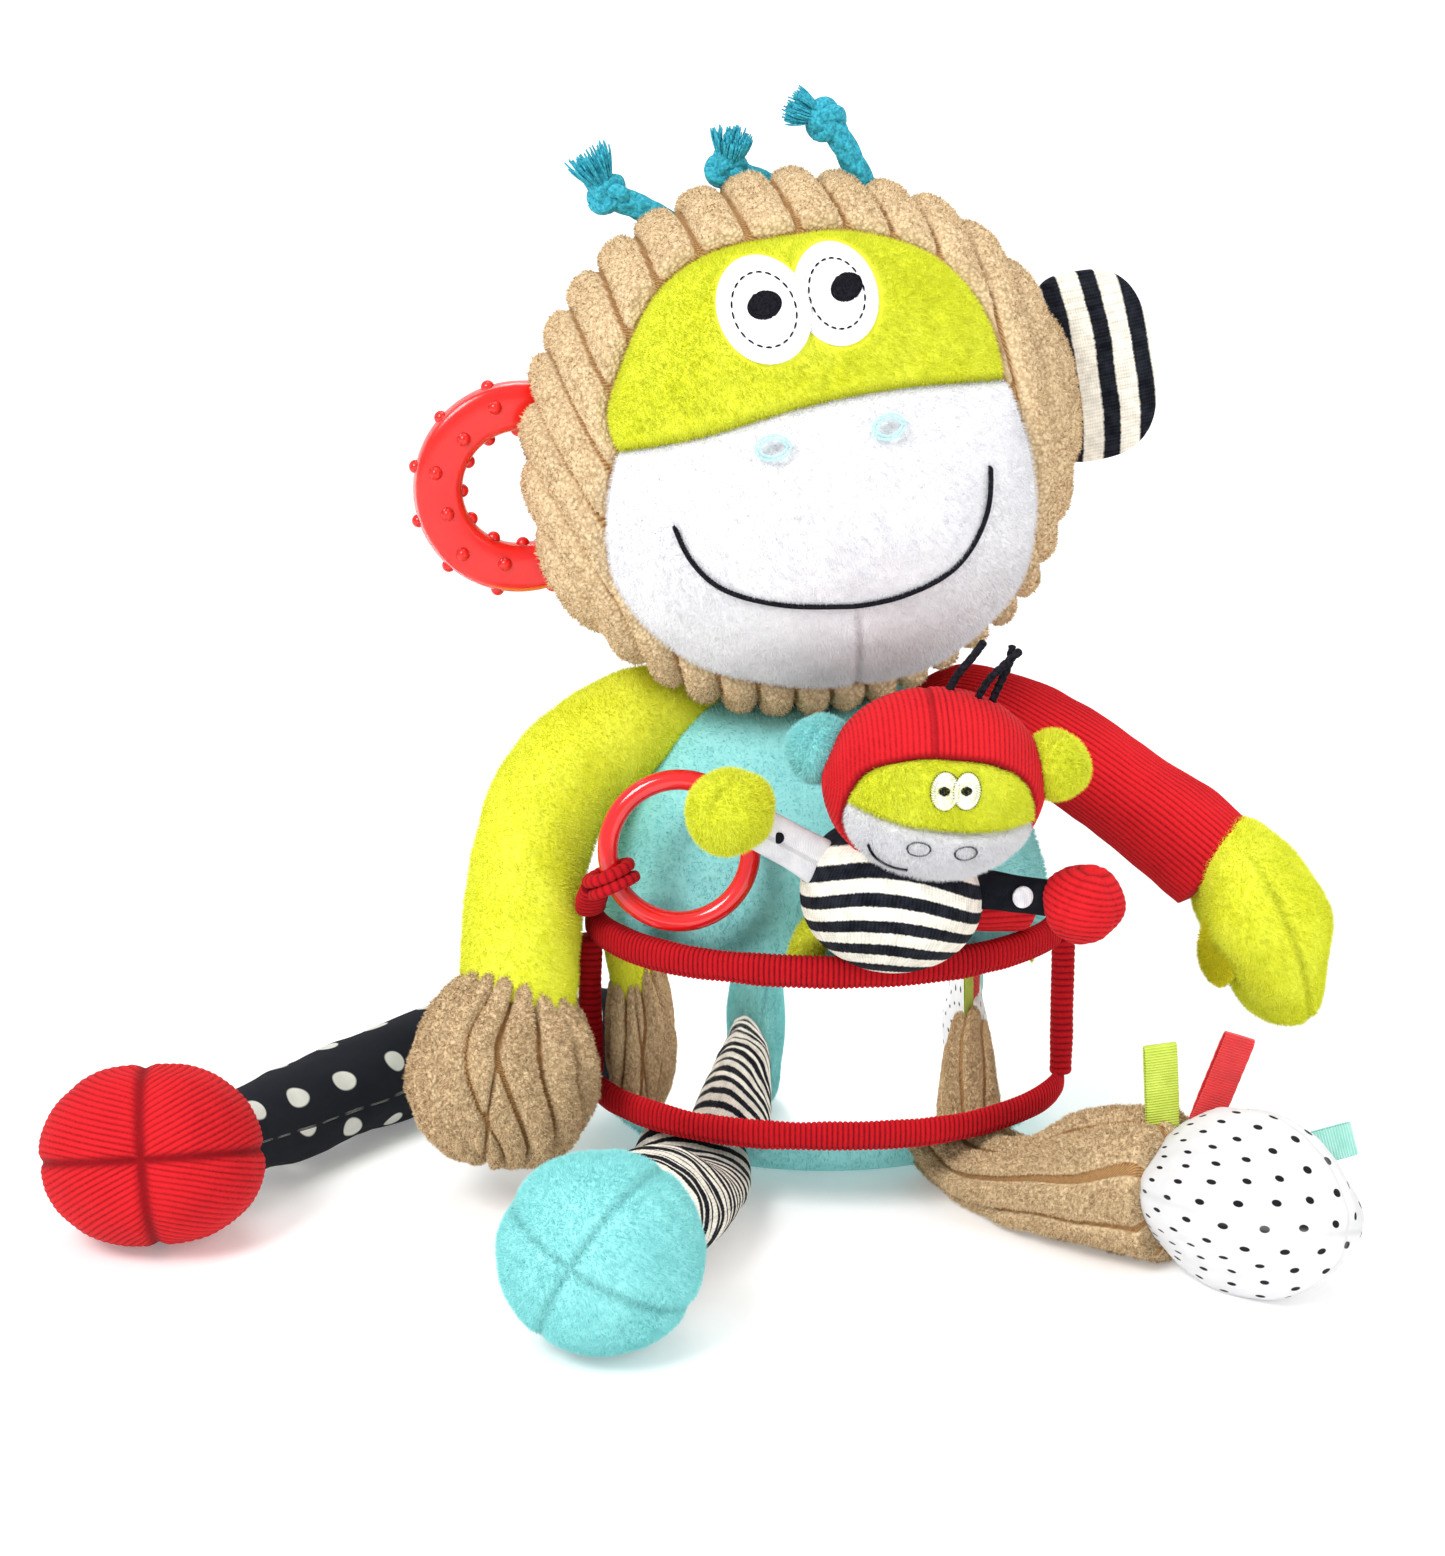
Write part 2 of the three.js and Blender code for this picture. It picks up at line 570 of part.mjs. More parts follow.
// knotted cord hairs
const hair = (pts, knotAt, knotR, end) => {
  const shape = new THREE.Shape();
  for (let i = 0; i < 8; i++) {
    const a = (i / 8) * 2 * Math.PI;
    const x = HAIR_R * Math.cos(a),
      y = HAIR_R * Math.sin(a);
    i ? shape.lineTo(x, y) : shape.moveTo(x, y);
  }
  shape.closePath();
  const path = new THREE.CatmullRomCurve3(pts.map((p) => V(...p)));
  const g = new THREE.ExtrudeGeometry(shape, { steps: 4, bevelEnabled: false, extrudePath: path });
  let tube = solid(g);
  if (tube.volume() < 0) tube = solid(flip(g));
  const stub = limb([[...knotAt, 3.6, 3.6], [...end, 5.2, 5.2]], 0, 0, 0, 7, 1);
  return biggest(cut(join(tube, ball(knotAt, knotR, 8, 6), stub), headBlob(GAP)));
};
const hair1 = hair([[-42, 2, 287], [-50, 1, 293], [-58, 0, 297], [-65, -1, 300]], [-66, -1, 300.5], 7.2, [-72.5, -3, 311]);
const hair2 = hair([[-13, 2, 298], [-20, 1, 304], [-26, 0, 306.5], [-30, -1, 307.5]], [-30.5, -1, 308], 7.2, [-29.5, -3, 318]);
const hair3 = hair([[13, 2, 295], [9, 1, 305], [4.5, 0, 315], [0, -1, 322]], [-1, -1, 324], 7.2, [-9, -3, 327]);

// ---------- hook-and-loop patches on the palms ----------
const patchOn = (shell, inner, at, dir, long, wide, spin) => {
  const g = new THREE.CylinderGeometry(1, 1, 24, 16);
  g.scale(wide, 1, long);
  const q = new THREE.Quaternion().setFromUnitVectors(V(0, 1, 0), V(...dir).normalize());
  const m = new THREE.Matrix4().makeRotationFromQuaternion(q).multiply(new THREE.Matrix4().makeRotationY(rad(spin)));
  m.setPosition(...at);
  return biggest(cut(shell.intersect(solid(g, m)), inner));
};
const patchL = patchOn(handL(1.5), handL(GAP), [118.5, -45, 78], [-0.72, -0.66, -0.2], 16, 6.2, -27);

// ---------- foot fittings ----------
const squeakerAt = [-66, -166, 29];
const hole = (core, at, dir, r, h, back) => {
  // room for a fitting, open towards the limb so that it could be pushed in
  const d = V(...dir).normalize();
  const c = V(...at).addScaledVector(d, back / 2).toArray();
  return cut(core, puck(c, dir, r + GAP, h + 2 * GAP + Math.abs(back)));
};
const squeaker = puck(squeakerAt, FOOT_R.dir, 15, 13);
legR.core = biggest(hole(legR.core, squeakerAt, FOOT_R.dir, 15, 13, 40));
const bellAt = [-203, -90.5, 27.5];
const bell = puck(bellAt, TIP.dir, 11, 20);
tail.core = biggest(hole(tail.core, bellAt, TIP.dir, 11, 20, 30));

// ribbon tags: folded ribbons sewn in the ankle seam of the spotted foot
const ribbon = (at, rot, w, h, lean) => {
  const shape = new THREE.Shape();
  const T = 0.8;
  const pts = [];
  for (let i = 0; i <= 5; i++) {
    const s = i / 5;
    pts.push([lean * s * s, s * h]);
  }
  pts.forEach(([y, z], i) => (i ? shape.lineTo(y + T, z) : shape.moveTo(y + T, z)));
  pts.reverse().forEach(([y, z]) => shape.lineTo(y - T, z));
  shape.closePath();
  const g = new THREE.ExtrudeGeometry(shape, { depth: w, bevelEnabled: false, steps: 1 });
  g.translate(0, 0, -w / 2);
  // shape (x, y) = (thickness, height), depth = width
  g.rotateX(Math.PI / 2);
  g.rotateZ(Math.PI / 2);
  return solid(g, place(at, rot));
};
const footRoom = join(footL(GAP), limb(LEG_L, GAP));
const tagGreen = biggest(cut(ribbon([97.5, -101, 33], [0, 0, 0], 10, 34, 1), footRoom));
const tagRed = biggest(cut(ribbon([109, -104, 38], [0, 20, 0], 10, 31, 3), footRoom));
const tagMint = biggest(cut(ribbon([132, -113, 36], [0, 74, 0], 10, 20, 1.5), footRoom));

// ---------- small rattle monkey ----------
const BB = { at: [19.5, -82, 107.8], r: [26.5, 21.5, 21] };
const BH = { at: [29.5, -87, 143], a: 31.5, f: 25, b: 23, c: 27.5 };
const BH_M = place(BH.at, [0, 4, 6], "ZYX");
const bBody = (g, w = 12, h = 7) => blob(BB.at, BB.r[0] + g, BB.r[1] + g, BB.r[1] + g, BB.r[2] + g, null, w, h);
const bHead = (g, w = 14, h = 8) => blob([0, 0, 0], BH.a + g, BH.f + g, BH.b + g, BH.c + g, BH_M, w, h);
const bLocal = (lo, hi) => box(lo, hi, BH_M);
const bHeadCut = cut(bHead(0), bBody(GAP));
const bHeadShell = cut(bHeadCut, bHead(-1.6));
const B_SEAM = -8;
const B_BROW = 11.5;
const babyCap = biggest(cut(bHeadShell, bLocal([-60, -60, -60], [60, B_SEAM + GAP / 2, B_BROW + GAP / 2])));
const bFace = bHeadShell.intersect(bLocal([-60, -60, -60], [60, B_SEAM - GAP / 2, B_BROW - GAP / 2]));
const babyMask = biggest(bFace.intersect(bLocal([-60, -60, -1.5 + GAP / 2], [60, 60, 60])));
const babyMuzzle = biggest(bFace.intersect(bLocal([-60, -60, -60], [60, 60, -1.5 - GAP / 2])));
const babyEarR = biggest(cut(ball([-3.5, -81, 151.5], 9.6, 12, 8), bHead(GAP)));
const babyEarL = biggest(cut(ball([64.5, -83, 147], 10, 12, 8), bHead(GAP)));
const rattleAt = BB.at;
const babyRattle = puck(rattleAt, [0, 0, 1], 12, 17);
const babyBody = biggest(cut(bBody(0), puck([rattleAt[0], rattleAt[1], rattleAt[2] + 12], [0, 0, 1], 12 + GAP, 17 + 2 * GAP + 24)));
const strap = (p, q, w, t) => limb([[...p, w, t], [...q, w, t]], 0, 0, 0, 8, 2);
const ARM_BR = [[-6.5, -88, 121], [-24, -94, 133]];
const ARM_BL = [[45.5, -85, 110.5], [64, -87, 108]];
const handBR = ball([-29.5, -96, 137.2], 13, 12, 8);
const handBL = ball([74, -88, 106.5], 12, 12, 8);
const armBR = biggest(cut(strap(...ARM_BR, 2.2, 6.2), bBody(0.9), ball([-29.5, -96, 137.2], 13 + GAP, 12, 8)));
const armBL = biggest(cut(strap(...ARM_BL, 2.2, 6.2), bBody(0.9), ball([74, -88, 106.5], 12 + GAP, 12, 8)));
const legBR = biggest(cut(limb([[4, -66.5, 96, 6.5, 5], [-5, -63.5, 88, 7, 4.6], [-8, -62.2, 66, 7, 4.2]], 0, 0, 0, 10, 5), bBody(GAP)));
const legBL = biggest(cut(limb([[38, -64, 96, 6, 5.5], [50, -58.5, 94.5, 5.5, 6.5], [62, -51, 93, 6, 7]], 0, 0, 0, 10, 4), bBody(GAP)));

// ---------- assembly ----------
add("torso_shell", torsoSkin, "aqua");
add("torso_stuffing", torsoFill, "fill");
add("pellet_bag", pellets, "part");
add("neck_plug", neckPlug, "fill");
add("mirror_sheet", mirror, "mirror");
add("mirror_backing", backing, "part");
add("pocket_binding_top", bandTop, "redcord");
add("pocket_binding_bottom", bandLow, "redcord");
add("pocket_binding_right", bandL, "redcord");
add("pocket_binding_left", bandR, "redcord");
add("pull_ring_strap", ringStrap, "redcord");
add("pull_ring", pullRing, "redplastic");
add("head_back_panel", headBack, "tan");
add("brow_panel", mask, "lime");
add("muzzle_panel", muzzle, "white");
add("eye_patch_right", eyeR, "white");
add("eye_patch_left", eyeL, "white");
add("head_stuffing", headFill, "fill");
add("ear_ring_tab", earTab, "tan");
add("teething_ring", teether, "silicone");
add("crackle_ear_cover", earCover, "stripe");
add("crackle_film", film, "part");
add("hair_cord_right", hair1, "teal");
add("hair_cord_middle", hair2, "teal");
add("hair_cord_left", hair3, "teal");
add("right_sleeve", armR.sleeve, "lime");
add("right_hand", armR.end, "tan");
add("right_arm_stuffing", armR.core, "fill");
add("left_sleeve", armL.sleeve, "redcord");
add("left_hand", armL.end, "lime");
add("left_arm_stuffing", armL.core, "fill");
add("left_palm_patch", patchL, "lime");
add("right_leg_sleeve", legR.sleeve, "stripe");
add("right_foot", legR.end, "aqua");
add("right_leg_stuffing", legR.core, "fill");
add("foot_squeaker", squeaker, "part");
add("left_leg_sleeve", legL.sleeve, "tan");
add("left_foot", legL.end, "dots");
add("left_leg_stuffing", legL.core, "fill");
add("ribbon_tag_green", tagGreen, "green");
add("ribbon_tag_red", tagRed, "ribbonred");
add("ribbon_tag_mint", tagMint, "mint");
add("tail_sleeve", tail.sleeve, "black");
add("tail_tip", tail.end, "redcord");
add("tail_stuffing", tail.core, "fill");
add("tail_bell", bell, "part");
add("baby_head_cap", babyCap, "redcord");
add("baby_brow_panel", babyMask, "lime");
add("baby_muzzle_panel", babyMuzzle, "white");
add("baby_ear_right", babyEarR, "aqua");
add("baby_ear_left", babyEarL, "lime");
add("baby_body", babyBody, "stripe");
add("baby_rattle", babyRattle, "part");
add("baby_right_arm", armBR, "dots");
add("baby_right_hand", biggest(handBR), "lime");
add("baby_left_arm", armBL, "black");
add("baby_left_hand", biggest(handBL), "redcord");
add("baby_right_leg", legBR, "lime");
add("baby_left_leg", legBL, "redcord");

export default group;
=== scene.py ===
import bpy
import math
import numpy as np
from mathutils import Matrix, Vector


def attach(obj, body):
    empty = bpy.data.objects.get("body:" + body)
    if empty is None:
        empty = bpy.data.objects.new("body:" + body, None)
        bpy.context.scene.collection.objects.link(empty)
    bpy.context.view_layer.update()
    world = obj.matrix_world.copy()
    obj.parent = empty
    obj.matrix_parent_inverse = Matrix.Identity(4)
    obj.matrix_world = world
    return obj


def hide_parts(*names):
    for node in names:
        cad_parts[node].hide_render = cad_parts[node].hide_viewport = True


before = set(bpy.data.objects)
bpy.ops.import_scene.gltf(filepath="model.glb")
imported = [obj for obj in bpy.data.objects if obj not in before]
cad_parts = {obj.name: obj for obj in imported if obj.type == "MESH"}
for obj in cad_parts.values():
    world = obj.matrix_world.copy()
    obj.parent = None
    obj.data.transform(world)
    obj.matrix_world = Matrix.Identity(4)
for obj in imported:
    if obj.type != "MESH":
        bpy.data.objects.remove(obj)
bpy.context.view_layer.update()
MM = 0.001
DENS = 1.0

# ------------------------------------------------------------------ camera, light, floor
E = math.radians(17.0)
AIM = Vector((-32.0, 0.0, 118.0)) * MM
FWD = Vector((0.0, math.cos(E), -math.sin(E)))
cam_data = bpy.data.cameras.new("camera")
cam_data.sensor_fit = "VERTICAL"
cam_data.sensor_height = 36.0
cam_data.lens = 4160.0 / 1556.0 * 36.0
cam_data.clip_start = 0.05
cam_data.clip_end = 50
cam = bpy.data.objects.new("camera", cam_data)
bpy.context.scene.collection.objects.link(cam)
cam.location = AIM - FWD * 1.3
cam.rotation_euler = FWD.to_track_quat("-Z", "Y").to_euler()
bpy.context.scene.camera = cam
bpy.context.scene.view_settings.view_transform = "Standard"


def area_light(name, at, aim, size, power, color=(1, 1, 1), size_y=None):
    d = bpy.data.lights.new(name, "AREA")
    d.shape = "RECTANGLE"
    d.size = size
    d.size_y = size_y or size
    d.energy = power
    d.color = color
    o = bpy.data.objects.new(name, d)
    bpy.context.scene.collection.objects.link(o)
    o.location = at
    o.rotation_euler = (Vector(aim) - Vector(at)).to_track_quat("-Z", "Y").to_euler()
    return o


# ------------------------------------------------------------------ node helper
class Nodes:
    def __init__(self, name):
        self.mat = bpy.data.materials.new(name)
        self.mat.use_nodes = True
        self.t = self.mat.node_tree
        self.t.nodes.clear()
        self.out = self.t.nodes.new("ShaderNodeOutputMaterial")
        self.bsdf = self.t.nodes.new("ShaderNodeBsdfPrincipled")
        self.t.links.new(self.bsdf.outputs[0], self.out.inputs[0])

    def _in(self, sock, v):
        if v is None:
            return
        if isinstance(v, bpy.types.NodeSocket):
            self.t.links.new(v, sock)
        elif isinstance(v, (tuple, list)) and len(v) == 3 and sock.type == "RGBA":
            sock.default_value = (*v, 1.0)
        else:
            sock.default_value = v

    def attr(self, name, out="Vector"):
        n = self.t.nodes.new("ShaderNodeAttribute")
        n.attribute_name = name
        return n.outputs[out]

    def m(self, op, a, b=None, c=None, clamp=False):
        n = self.t.nodes.new("ShaderNodeMath")
        n.operation = op
        n.use_clamp = clamp
        self._in(n.inputs[0], a)
        self._in(n.inputs[1], b)
        self._in(n.inputs[2], c)
        return n.outputs[0]

    def sep(self, v):
        n = self.t.nodes.new("ShaderNodeSeparateXYZ")
        self._in(n.inputs[0], v)
        return n.outputs

    def comb(self, x, y, z=0.0):
        n = self.t.nodes.new("ShaderNodeCombineXYZ")
        self._in(n.inputs[0], x)
        self._in(n.inputs[1], y)
        self._in(n.inputs[2], z)
        return n.outputs[0]

    def noise(self, vec, scale, detail=2.0, rough=0.5):
        n = self.t.nodes.new("ShaderNodeTexNoise")
        self._in(n.inputs["Vector"], vec)
        n.inputs["Scale"].default_value = scale
        n.inputs["Detail"].default_value = detail
        n.inputs["Roughness"].default_value = rough
        return n.outputs["Fac"]

    def voro(self, vec, scale, rnd=1.0):
        n = self.t.nodes.new("ShaderNodeTexVoronoi")
        self._in(n.inputs["Vector"], vec)
        n.inputs["Scale"].default_value = scale
        n.inputs["Randomness"].default_value = rnd
        return n.outputs["Distance"]

    def ramp(self, fac, lo, hi, c0=0.0, c1=1.0):
        n = self.t.nodes.new("ShaderNodeMapRange")
        n.interpolation_type = "SMOOTHSTEP"
        self._in(n.inputs["Value"], fac)
        n.inputs["From Min"].default_value = lo
        n.inputs["From Max"].default_value = hi
        n.inputs["To Min"].default_value = c0
        n.inputs["To Max"].default_value = c1
        return n.outputs["Result"]

    def mix(self, fac, a, b, mode="MIX"):
        n = self.t.nodes.new("ShaderNodeMix")
        n.data_type = "RGBA"
        n.blend_type = mode
        self._in(n.inputs[0], fac)
        self._in(n.inputs[6], a)
        self._in(n.inputs[7], b)
        return n.outputs[2]

    def bump(self, height, dist, strength=1.0, normal=None):
        n = self.t.nodes.new("ShaderNodeBump")
        n.inputs["Strength"].default_value = strength
        n.inputs["Distance"].default_value = dist
        self._in(n.inputs["Height"], height)
        if normal is not None:
            self._in(n.inputs["Normal"], normal)
        return n.outputs["Normal"]

    def set(self, **k):
        for key, v in k.items():
            self._in(self.bsdf.inputs[key.replace("_", " ")], v)
        return self


def mul(c, f):
    return tuple(min(1.0, x * f) for x in c)


def plush(name, dark, light, scale=1.0, sheen=0.12):
    """Short soft pile: tone drifts over brushed patches, and each fibre runs lighter to its tip, which is painted shade
    at the roots and painted light at the tips.
    """
    n = Nodes(name)
    r = n.attr("rest")
    a = n.noise(r, 60 / scale, 3)
    b = n.noise(r, 420 / scale, 2, 0.6)
    t = n.m("ADD", n.m("MULTIPLY", a, 0.55), n.m("MULTIPLY", b, 0.45))
    tone = n.ramp(t, 0.32, 0.66)
    # painted shade and light: fibre roots darker, fibre tips lighter, from the tip attribute
    tip = n.attr("tip", "Fac")
    tone = n.m("ADD", n.m("MULTIPLY", tone, 0.6), n.m("MULTIPLY", tip, 0.4), clamp=True)
    # painted shade: the colour darkens along the seam grooves
    seam = n.attr("seam", "Fac")
    col = n.mix(tone, dark, light)
    col = n.mix(n.m("MULTIPLY", seam, 0.4), col, mul(dark, 0.75))
    n.set(Base_Color=col, Roughness=0.95, Normal=n.bump(b, 0.0006, 0.6))
    n.bsdf.inputs["Sheen Weight"].default_value = sheen
    n.bsdf.inputs["Sheen Roughness"].default_value = 0.45
    n.bsdf.inputs["Sheen Tint"].default_value = (*light, 1)
    n.bsdf.inputs["Specular IOR Level"].default_value = 0.15
    return n.mat


def chunky(name):
    """Wide terry wales on a brown twill ground. The attribute h is 0 in a groove and 1 on a wale."""
    n = Nodes(name)
    r = n.attr("rest")
    h = n.attr("h", "Fac")
    cell = n.voro(r, 820)
    soft = n.noise(r, 90, 3)
    # painted shade: the pits between the terry nubs (towards the Voronoi cell edges) are darker; the soft noise is
    # random tone
    tone = n.m("ADD", n.ramp(cell, 0.25, 0.75, 0.55, 0.0), n.m("MULTIPLY", soft, 0.55))
    # painted shade and light: fibre roots darker, fibre tips lighter
    tone = n.m("ADD", tone, n.m("MULTIPLY", n.attr("tip", "Fac"), 0.12))
    tone = n.ramp(tone, 0.10, 0.85)
    wale = n.mix(tone, (0.54, 0.385, 0.215), (0.78, 0.60, 0.37))
    u = n.sep(n.attr("uvm"))
    twill = n.m("FRACT", n.m("MULTIPLY", n.m("ADD", u[0], u[1]), 1100))
    ground = n.mix(n.ramp(twill, 0.25, 0.75), (0.27, 0.135, 0.05), (0.50, 0.29, 0.12))
    col = n.mix(n.ramp(h, 0.12, 0.40), ground, wale)
    n.set(Base_Color=col, Roughness=0.97)
    hgt = n.m("ADD", n.m("MULTIPLY", cell, -1.0), n.m("MULTIPLY", twill, 0.12))
    n.set(Normal=n.bump(hgt, 0.0011, 0.8))
    n.bsdf.inputs["Sheen Weight"].default_value = 0.15
    n.bsdf.inputs["Sheen Roughness"].default_value = 0.5
    n.bsdf.inputs["Sheen Tint"].default_value = (0.9, 0.75, 0.55, 1)
    n.bsdf.inputs["Specular IOR Level"].default_value = 0.1
    return n.mat


def corduroy(name, dark=(0.24, 0.002, 0.006), light=(0.62, 0.012, 0.018)):
    """Fine red rib. The attribute h is the rib's height, 0 to 1, and the valleys between ribs are painted darker as
    shade.
    """
    n = Nodes(name)
    r = n.attr("rest")
    h = n.attr("h", "Fac")
    fuzz = n.noise(r, 900, 2, 0.7)
    drift = n.noise(r, 55, 2)
    # painted shade: rib valleys (low h) darker, rib tops lighter; fuzz and drift add random tone
    t = n.m("ADD", n.m("MULTIPLY", h, 0.55), n.m("ADD", n.m("MULTIPLY", fuzz, 0.30), n.m("MULTIPLY", drift, 0.35)))
    col = n.mix(n.ramp(t, 0.22, 0.95), dark, light)
    # painted shade: the colour darkens towards deep red along the seam grooves
    seam = n.attr("seam", "Fac")
    col = n.mix(n.m("MULTIPLY", seam, 0.28), col, (0.12, 0.001, 0.003))
    n.set(Base_Color=col, Roughness=0.9, Normal=n.bump(fuzz, 0.0005, 0.7))
    n.bsdf.inputs["Sheen Weight"].default_value = 0.12
    n.bsdf.inputs["Sheen Roughness"].default_value = 0.4
    n.bsdf.inputs["Sheen Tint"].default_value = (1.0, 0.25, 0.25, 1)
    n.bsdf.inputs["Specular IOR Level"].default_value = 0.15
    return n.mat


CREAM = (0.80, 0.76, 0.67)
INK = (0.006, 0.007, 0.011)


def knit(name, period, share, axis=0, wobble=0.0006, rib=None, shift=0.0, cream=CREAM):
    """Striped jersey: stripes across uvm's axis, with fine loops."""
    n = Nodes(name)
    r = n.attr("rest")
    u = n.sep(n.attr("uvm"))
    wob = n.m("MULTIPLY", n.m("SUBTRACT", n.noise(r, 70, 2), 0.5), wobble * 4)
    fine = n.m("MULTIPLY", n.m("SUBTRACT", n.noise(r, 1500, 1), 0.5), 0.0007)
    s = n.m("ADD", n.m("ADD", u[axis], shift), n.m("ADD", wob, fine))
    f = n.m("FRACT", n.m("DIVIDE", s, period))
    d = n.m("ABSOLUTE", n.m("SUBTRACT", f, 0.5))
    black = n.ramp(d, 0.5 - share / 2 - 0.03, 0.5 - share / 2 + 0.03)
    loops = n.m("SINE", n.m("MULTIPLY", u[1 - axis], 2 * math.pi / 0.0011))
    rows = n.m("SINE", n.m("MULTIPLY", u[axis], 2 * math.pi / 0.0008))
    tex = n.m("MULTIPLY", n.m("ADD", loops, n.m("MULTIPLY", rows, 0.5)), 0.33)
    tone = n.ramp(n.m("ADD", n.m("MULTIPLY", tex, 0.3), n.noise(r, 300, 2)), 0.2, 0.8)
    light = n.mix(tone, mul(cream, 0.80), mul(cream, 1.12))
    dark = n.mix(tone, (0.003, 0.004, 0.007), (0.018, 0.020, 0.028))
    col = n.mix(black, light, dark)
    n.set(Base_Color=col, Roughness=0.9, Normal=n.bump(tex, 0.0002, 0.8))
    n.bsdf.inputs["Sheen Weight"].default_value = 0.02
    n.bsdf.inputs["Specular IOR Level"].default_value = 0.07
    return n.mat


def dotted(name, ground, spot, radius, dx, dy, weave=0.0004, sheen=0.05, jitter=0.0, stretch=1.0):
    """Printed cloth: staggered round spots on a woven ground."""
    n = Nodes(name)
    r = n.attr("rest")
    u = n.sep(n.attr("uvm"))
    wob = n.m("MULTIPLY", n.m("SUBTRACT", n.noise(r, 45, 1), 0.5), jitter)
    x = n.m("ADD", n.m("DIVIDE", u[0], dx), wob)
    y = n.m("DIVIDE", u[1], dy)
    row = n.m("FLOOR", y)
    x = n.m("ADD", x, n.m("MULTIPLY", row, 0.5))
    fx = n.m("MULTIPLY", n.m("SUBTRACT", n.m("FRACT", x), 0.5), dx * stretch)
    fy = n.m("MULTIPLY", n.m("SUBTRACT", n.m("FRACT", y), 0.5), dy)
    d = n.m("SQRT", n.m("ADD", n.m("MULTIPLY", fx, fx), n.m("MULTIPLY", fy, fy)))
    inside = n.ramp(d, radius * 0.9, radius * 1.1, 1.0, 0.0)
    wx = n.m("SINE", n.m("MULTIPLY", u[0], 2 * math.pi / weave))
    wy = n.m("SINE", n.m("MULTIPLY", u[1], 2 * math.pi / weave))
    tex = n.m("MULTIPLY", wx, wy)
    tone = n.ramp(n.m("ADD", n.m("MULTIPLY", tex, 0.15), n.noise(r, 120, 2)), 0.0, 0.9)
    g = n.mix(tone, mul(ground, 0.92), mul(ground, 1.06))
    sp = n.mix(tone, mul(spot, 0.8), mul(spot, 1.1))
    col = n.mix(inside, g, sp)
    # painted shade: the ground darkens along the seam grooves
    seam = n.attr("seam", "Fac")
    col = n.mix(n.m("MULTIPLY", seam, 0.22), col, mul(ground, 0.6))
    n.set(Base_Color=col, Roughness=0.85, Normal=n.bump(n.m("ADD", tex, n.noise(r, 1200, 1)), 0.00018, 0.6))
    n.bsdf.inputs["Sheen Weight"].default_value = sheen
    n.bsdf.inputs["Specular IOR Level"].default_value = 0.10
    return n.mat


def thread(name, dark, light, scale=1400, gloss=0.45, spec=0.25):
    n = Nodes(name)
    r = n.attr("rest")
    a = n.noise(r, scale, 2)
    col = n.mix(n.ramp(a, 0.3, 0.7), dark, light)
    n.set(Base_Color=col, Roughness=n.ramp(a, 0.2, 0.8, gloss, gloss + 0.2), Normal=n.bump(a, 0.0001, 0.5))
    n.bsdf.inputs["Sheen Weight"].default_value = 0.01
    n.bsdf.inputs["Specular IOR Level"].default_value = spec
    return n.mat


def ribbon_mat(name, dark, light):
    n = Nodes(name)
    u = n.sep(n.attr("uvm"))
    r = n.attr("rest")
    rib = n.m("SINE", n.m("MULTIPLY", u[1], 2 * math.pi / 0.0008))
    drift = n.noise(r, 160, 2)
    t = n.m("ADD", n.m("MULTIPLY", rib, 0.22), drift)
    col = n.mix(n.ramp(t, 0.25, 0.8), dark, light)
    n.set(Base_Color=col, Roughness=n.ramp(drift, 0.2, 0.8, 0.5, 0.65), Normal=n.bump(rib, 0.00018, 0.9))
    n.bsdf.inputs["Sheen Weight"].default_value = 0.2
    return n.mat


def plastic(name, dark, light, rough, scale=40, trans=0.0, coat=0.0, sss=0.0):
    n = Nodes(name)
    r = n.attr("rest")
    a = n.noise(r, scale, 2)
    col = n.mix(n.ramp(a, 0.3, 0.7), dark, light)
    n.set(Base_Color=col, Roughness=n.ramp(n.noise(r, 300, 3), 0.3, 0.7, rough, rough + 0.07),
          Normal=n.bump(n.noise(r, 260, 2), 0.00004, 0.5))
    n.bsdf.inputs["Transmission Weight"].default_value = trans
    n.bsdf.inputs["Coat Weight"].default_value = coat
    n.bsdf.inputs["Coat Roughness"].default_value = 0.08
    n.bsdf.inputs["IOR"].default_value = 1.46
    if sss:
        n.bsdf.inputs["Subsurface Weight"].default_value = sss
        n.bsdf.inputs["Subsurface Radius"].default_value = (0.006, 0.0015, 0.0012)
        n.bsdf.inputs["Subsurface Scale"].default_value = 0.5
    return n.mat


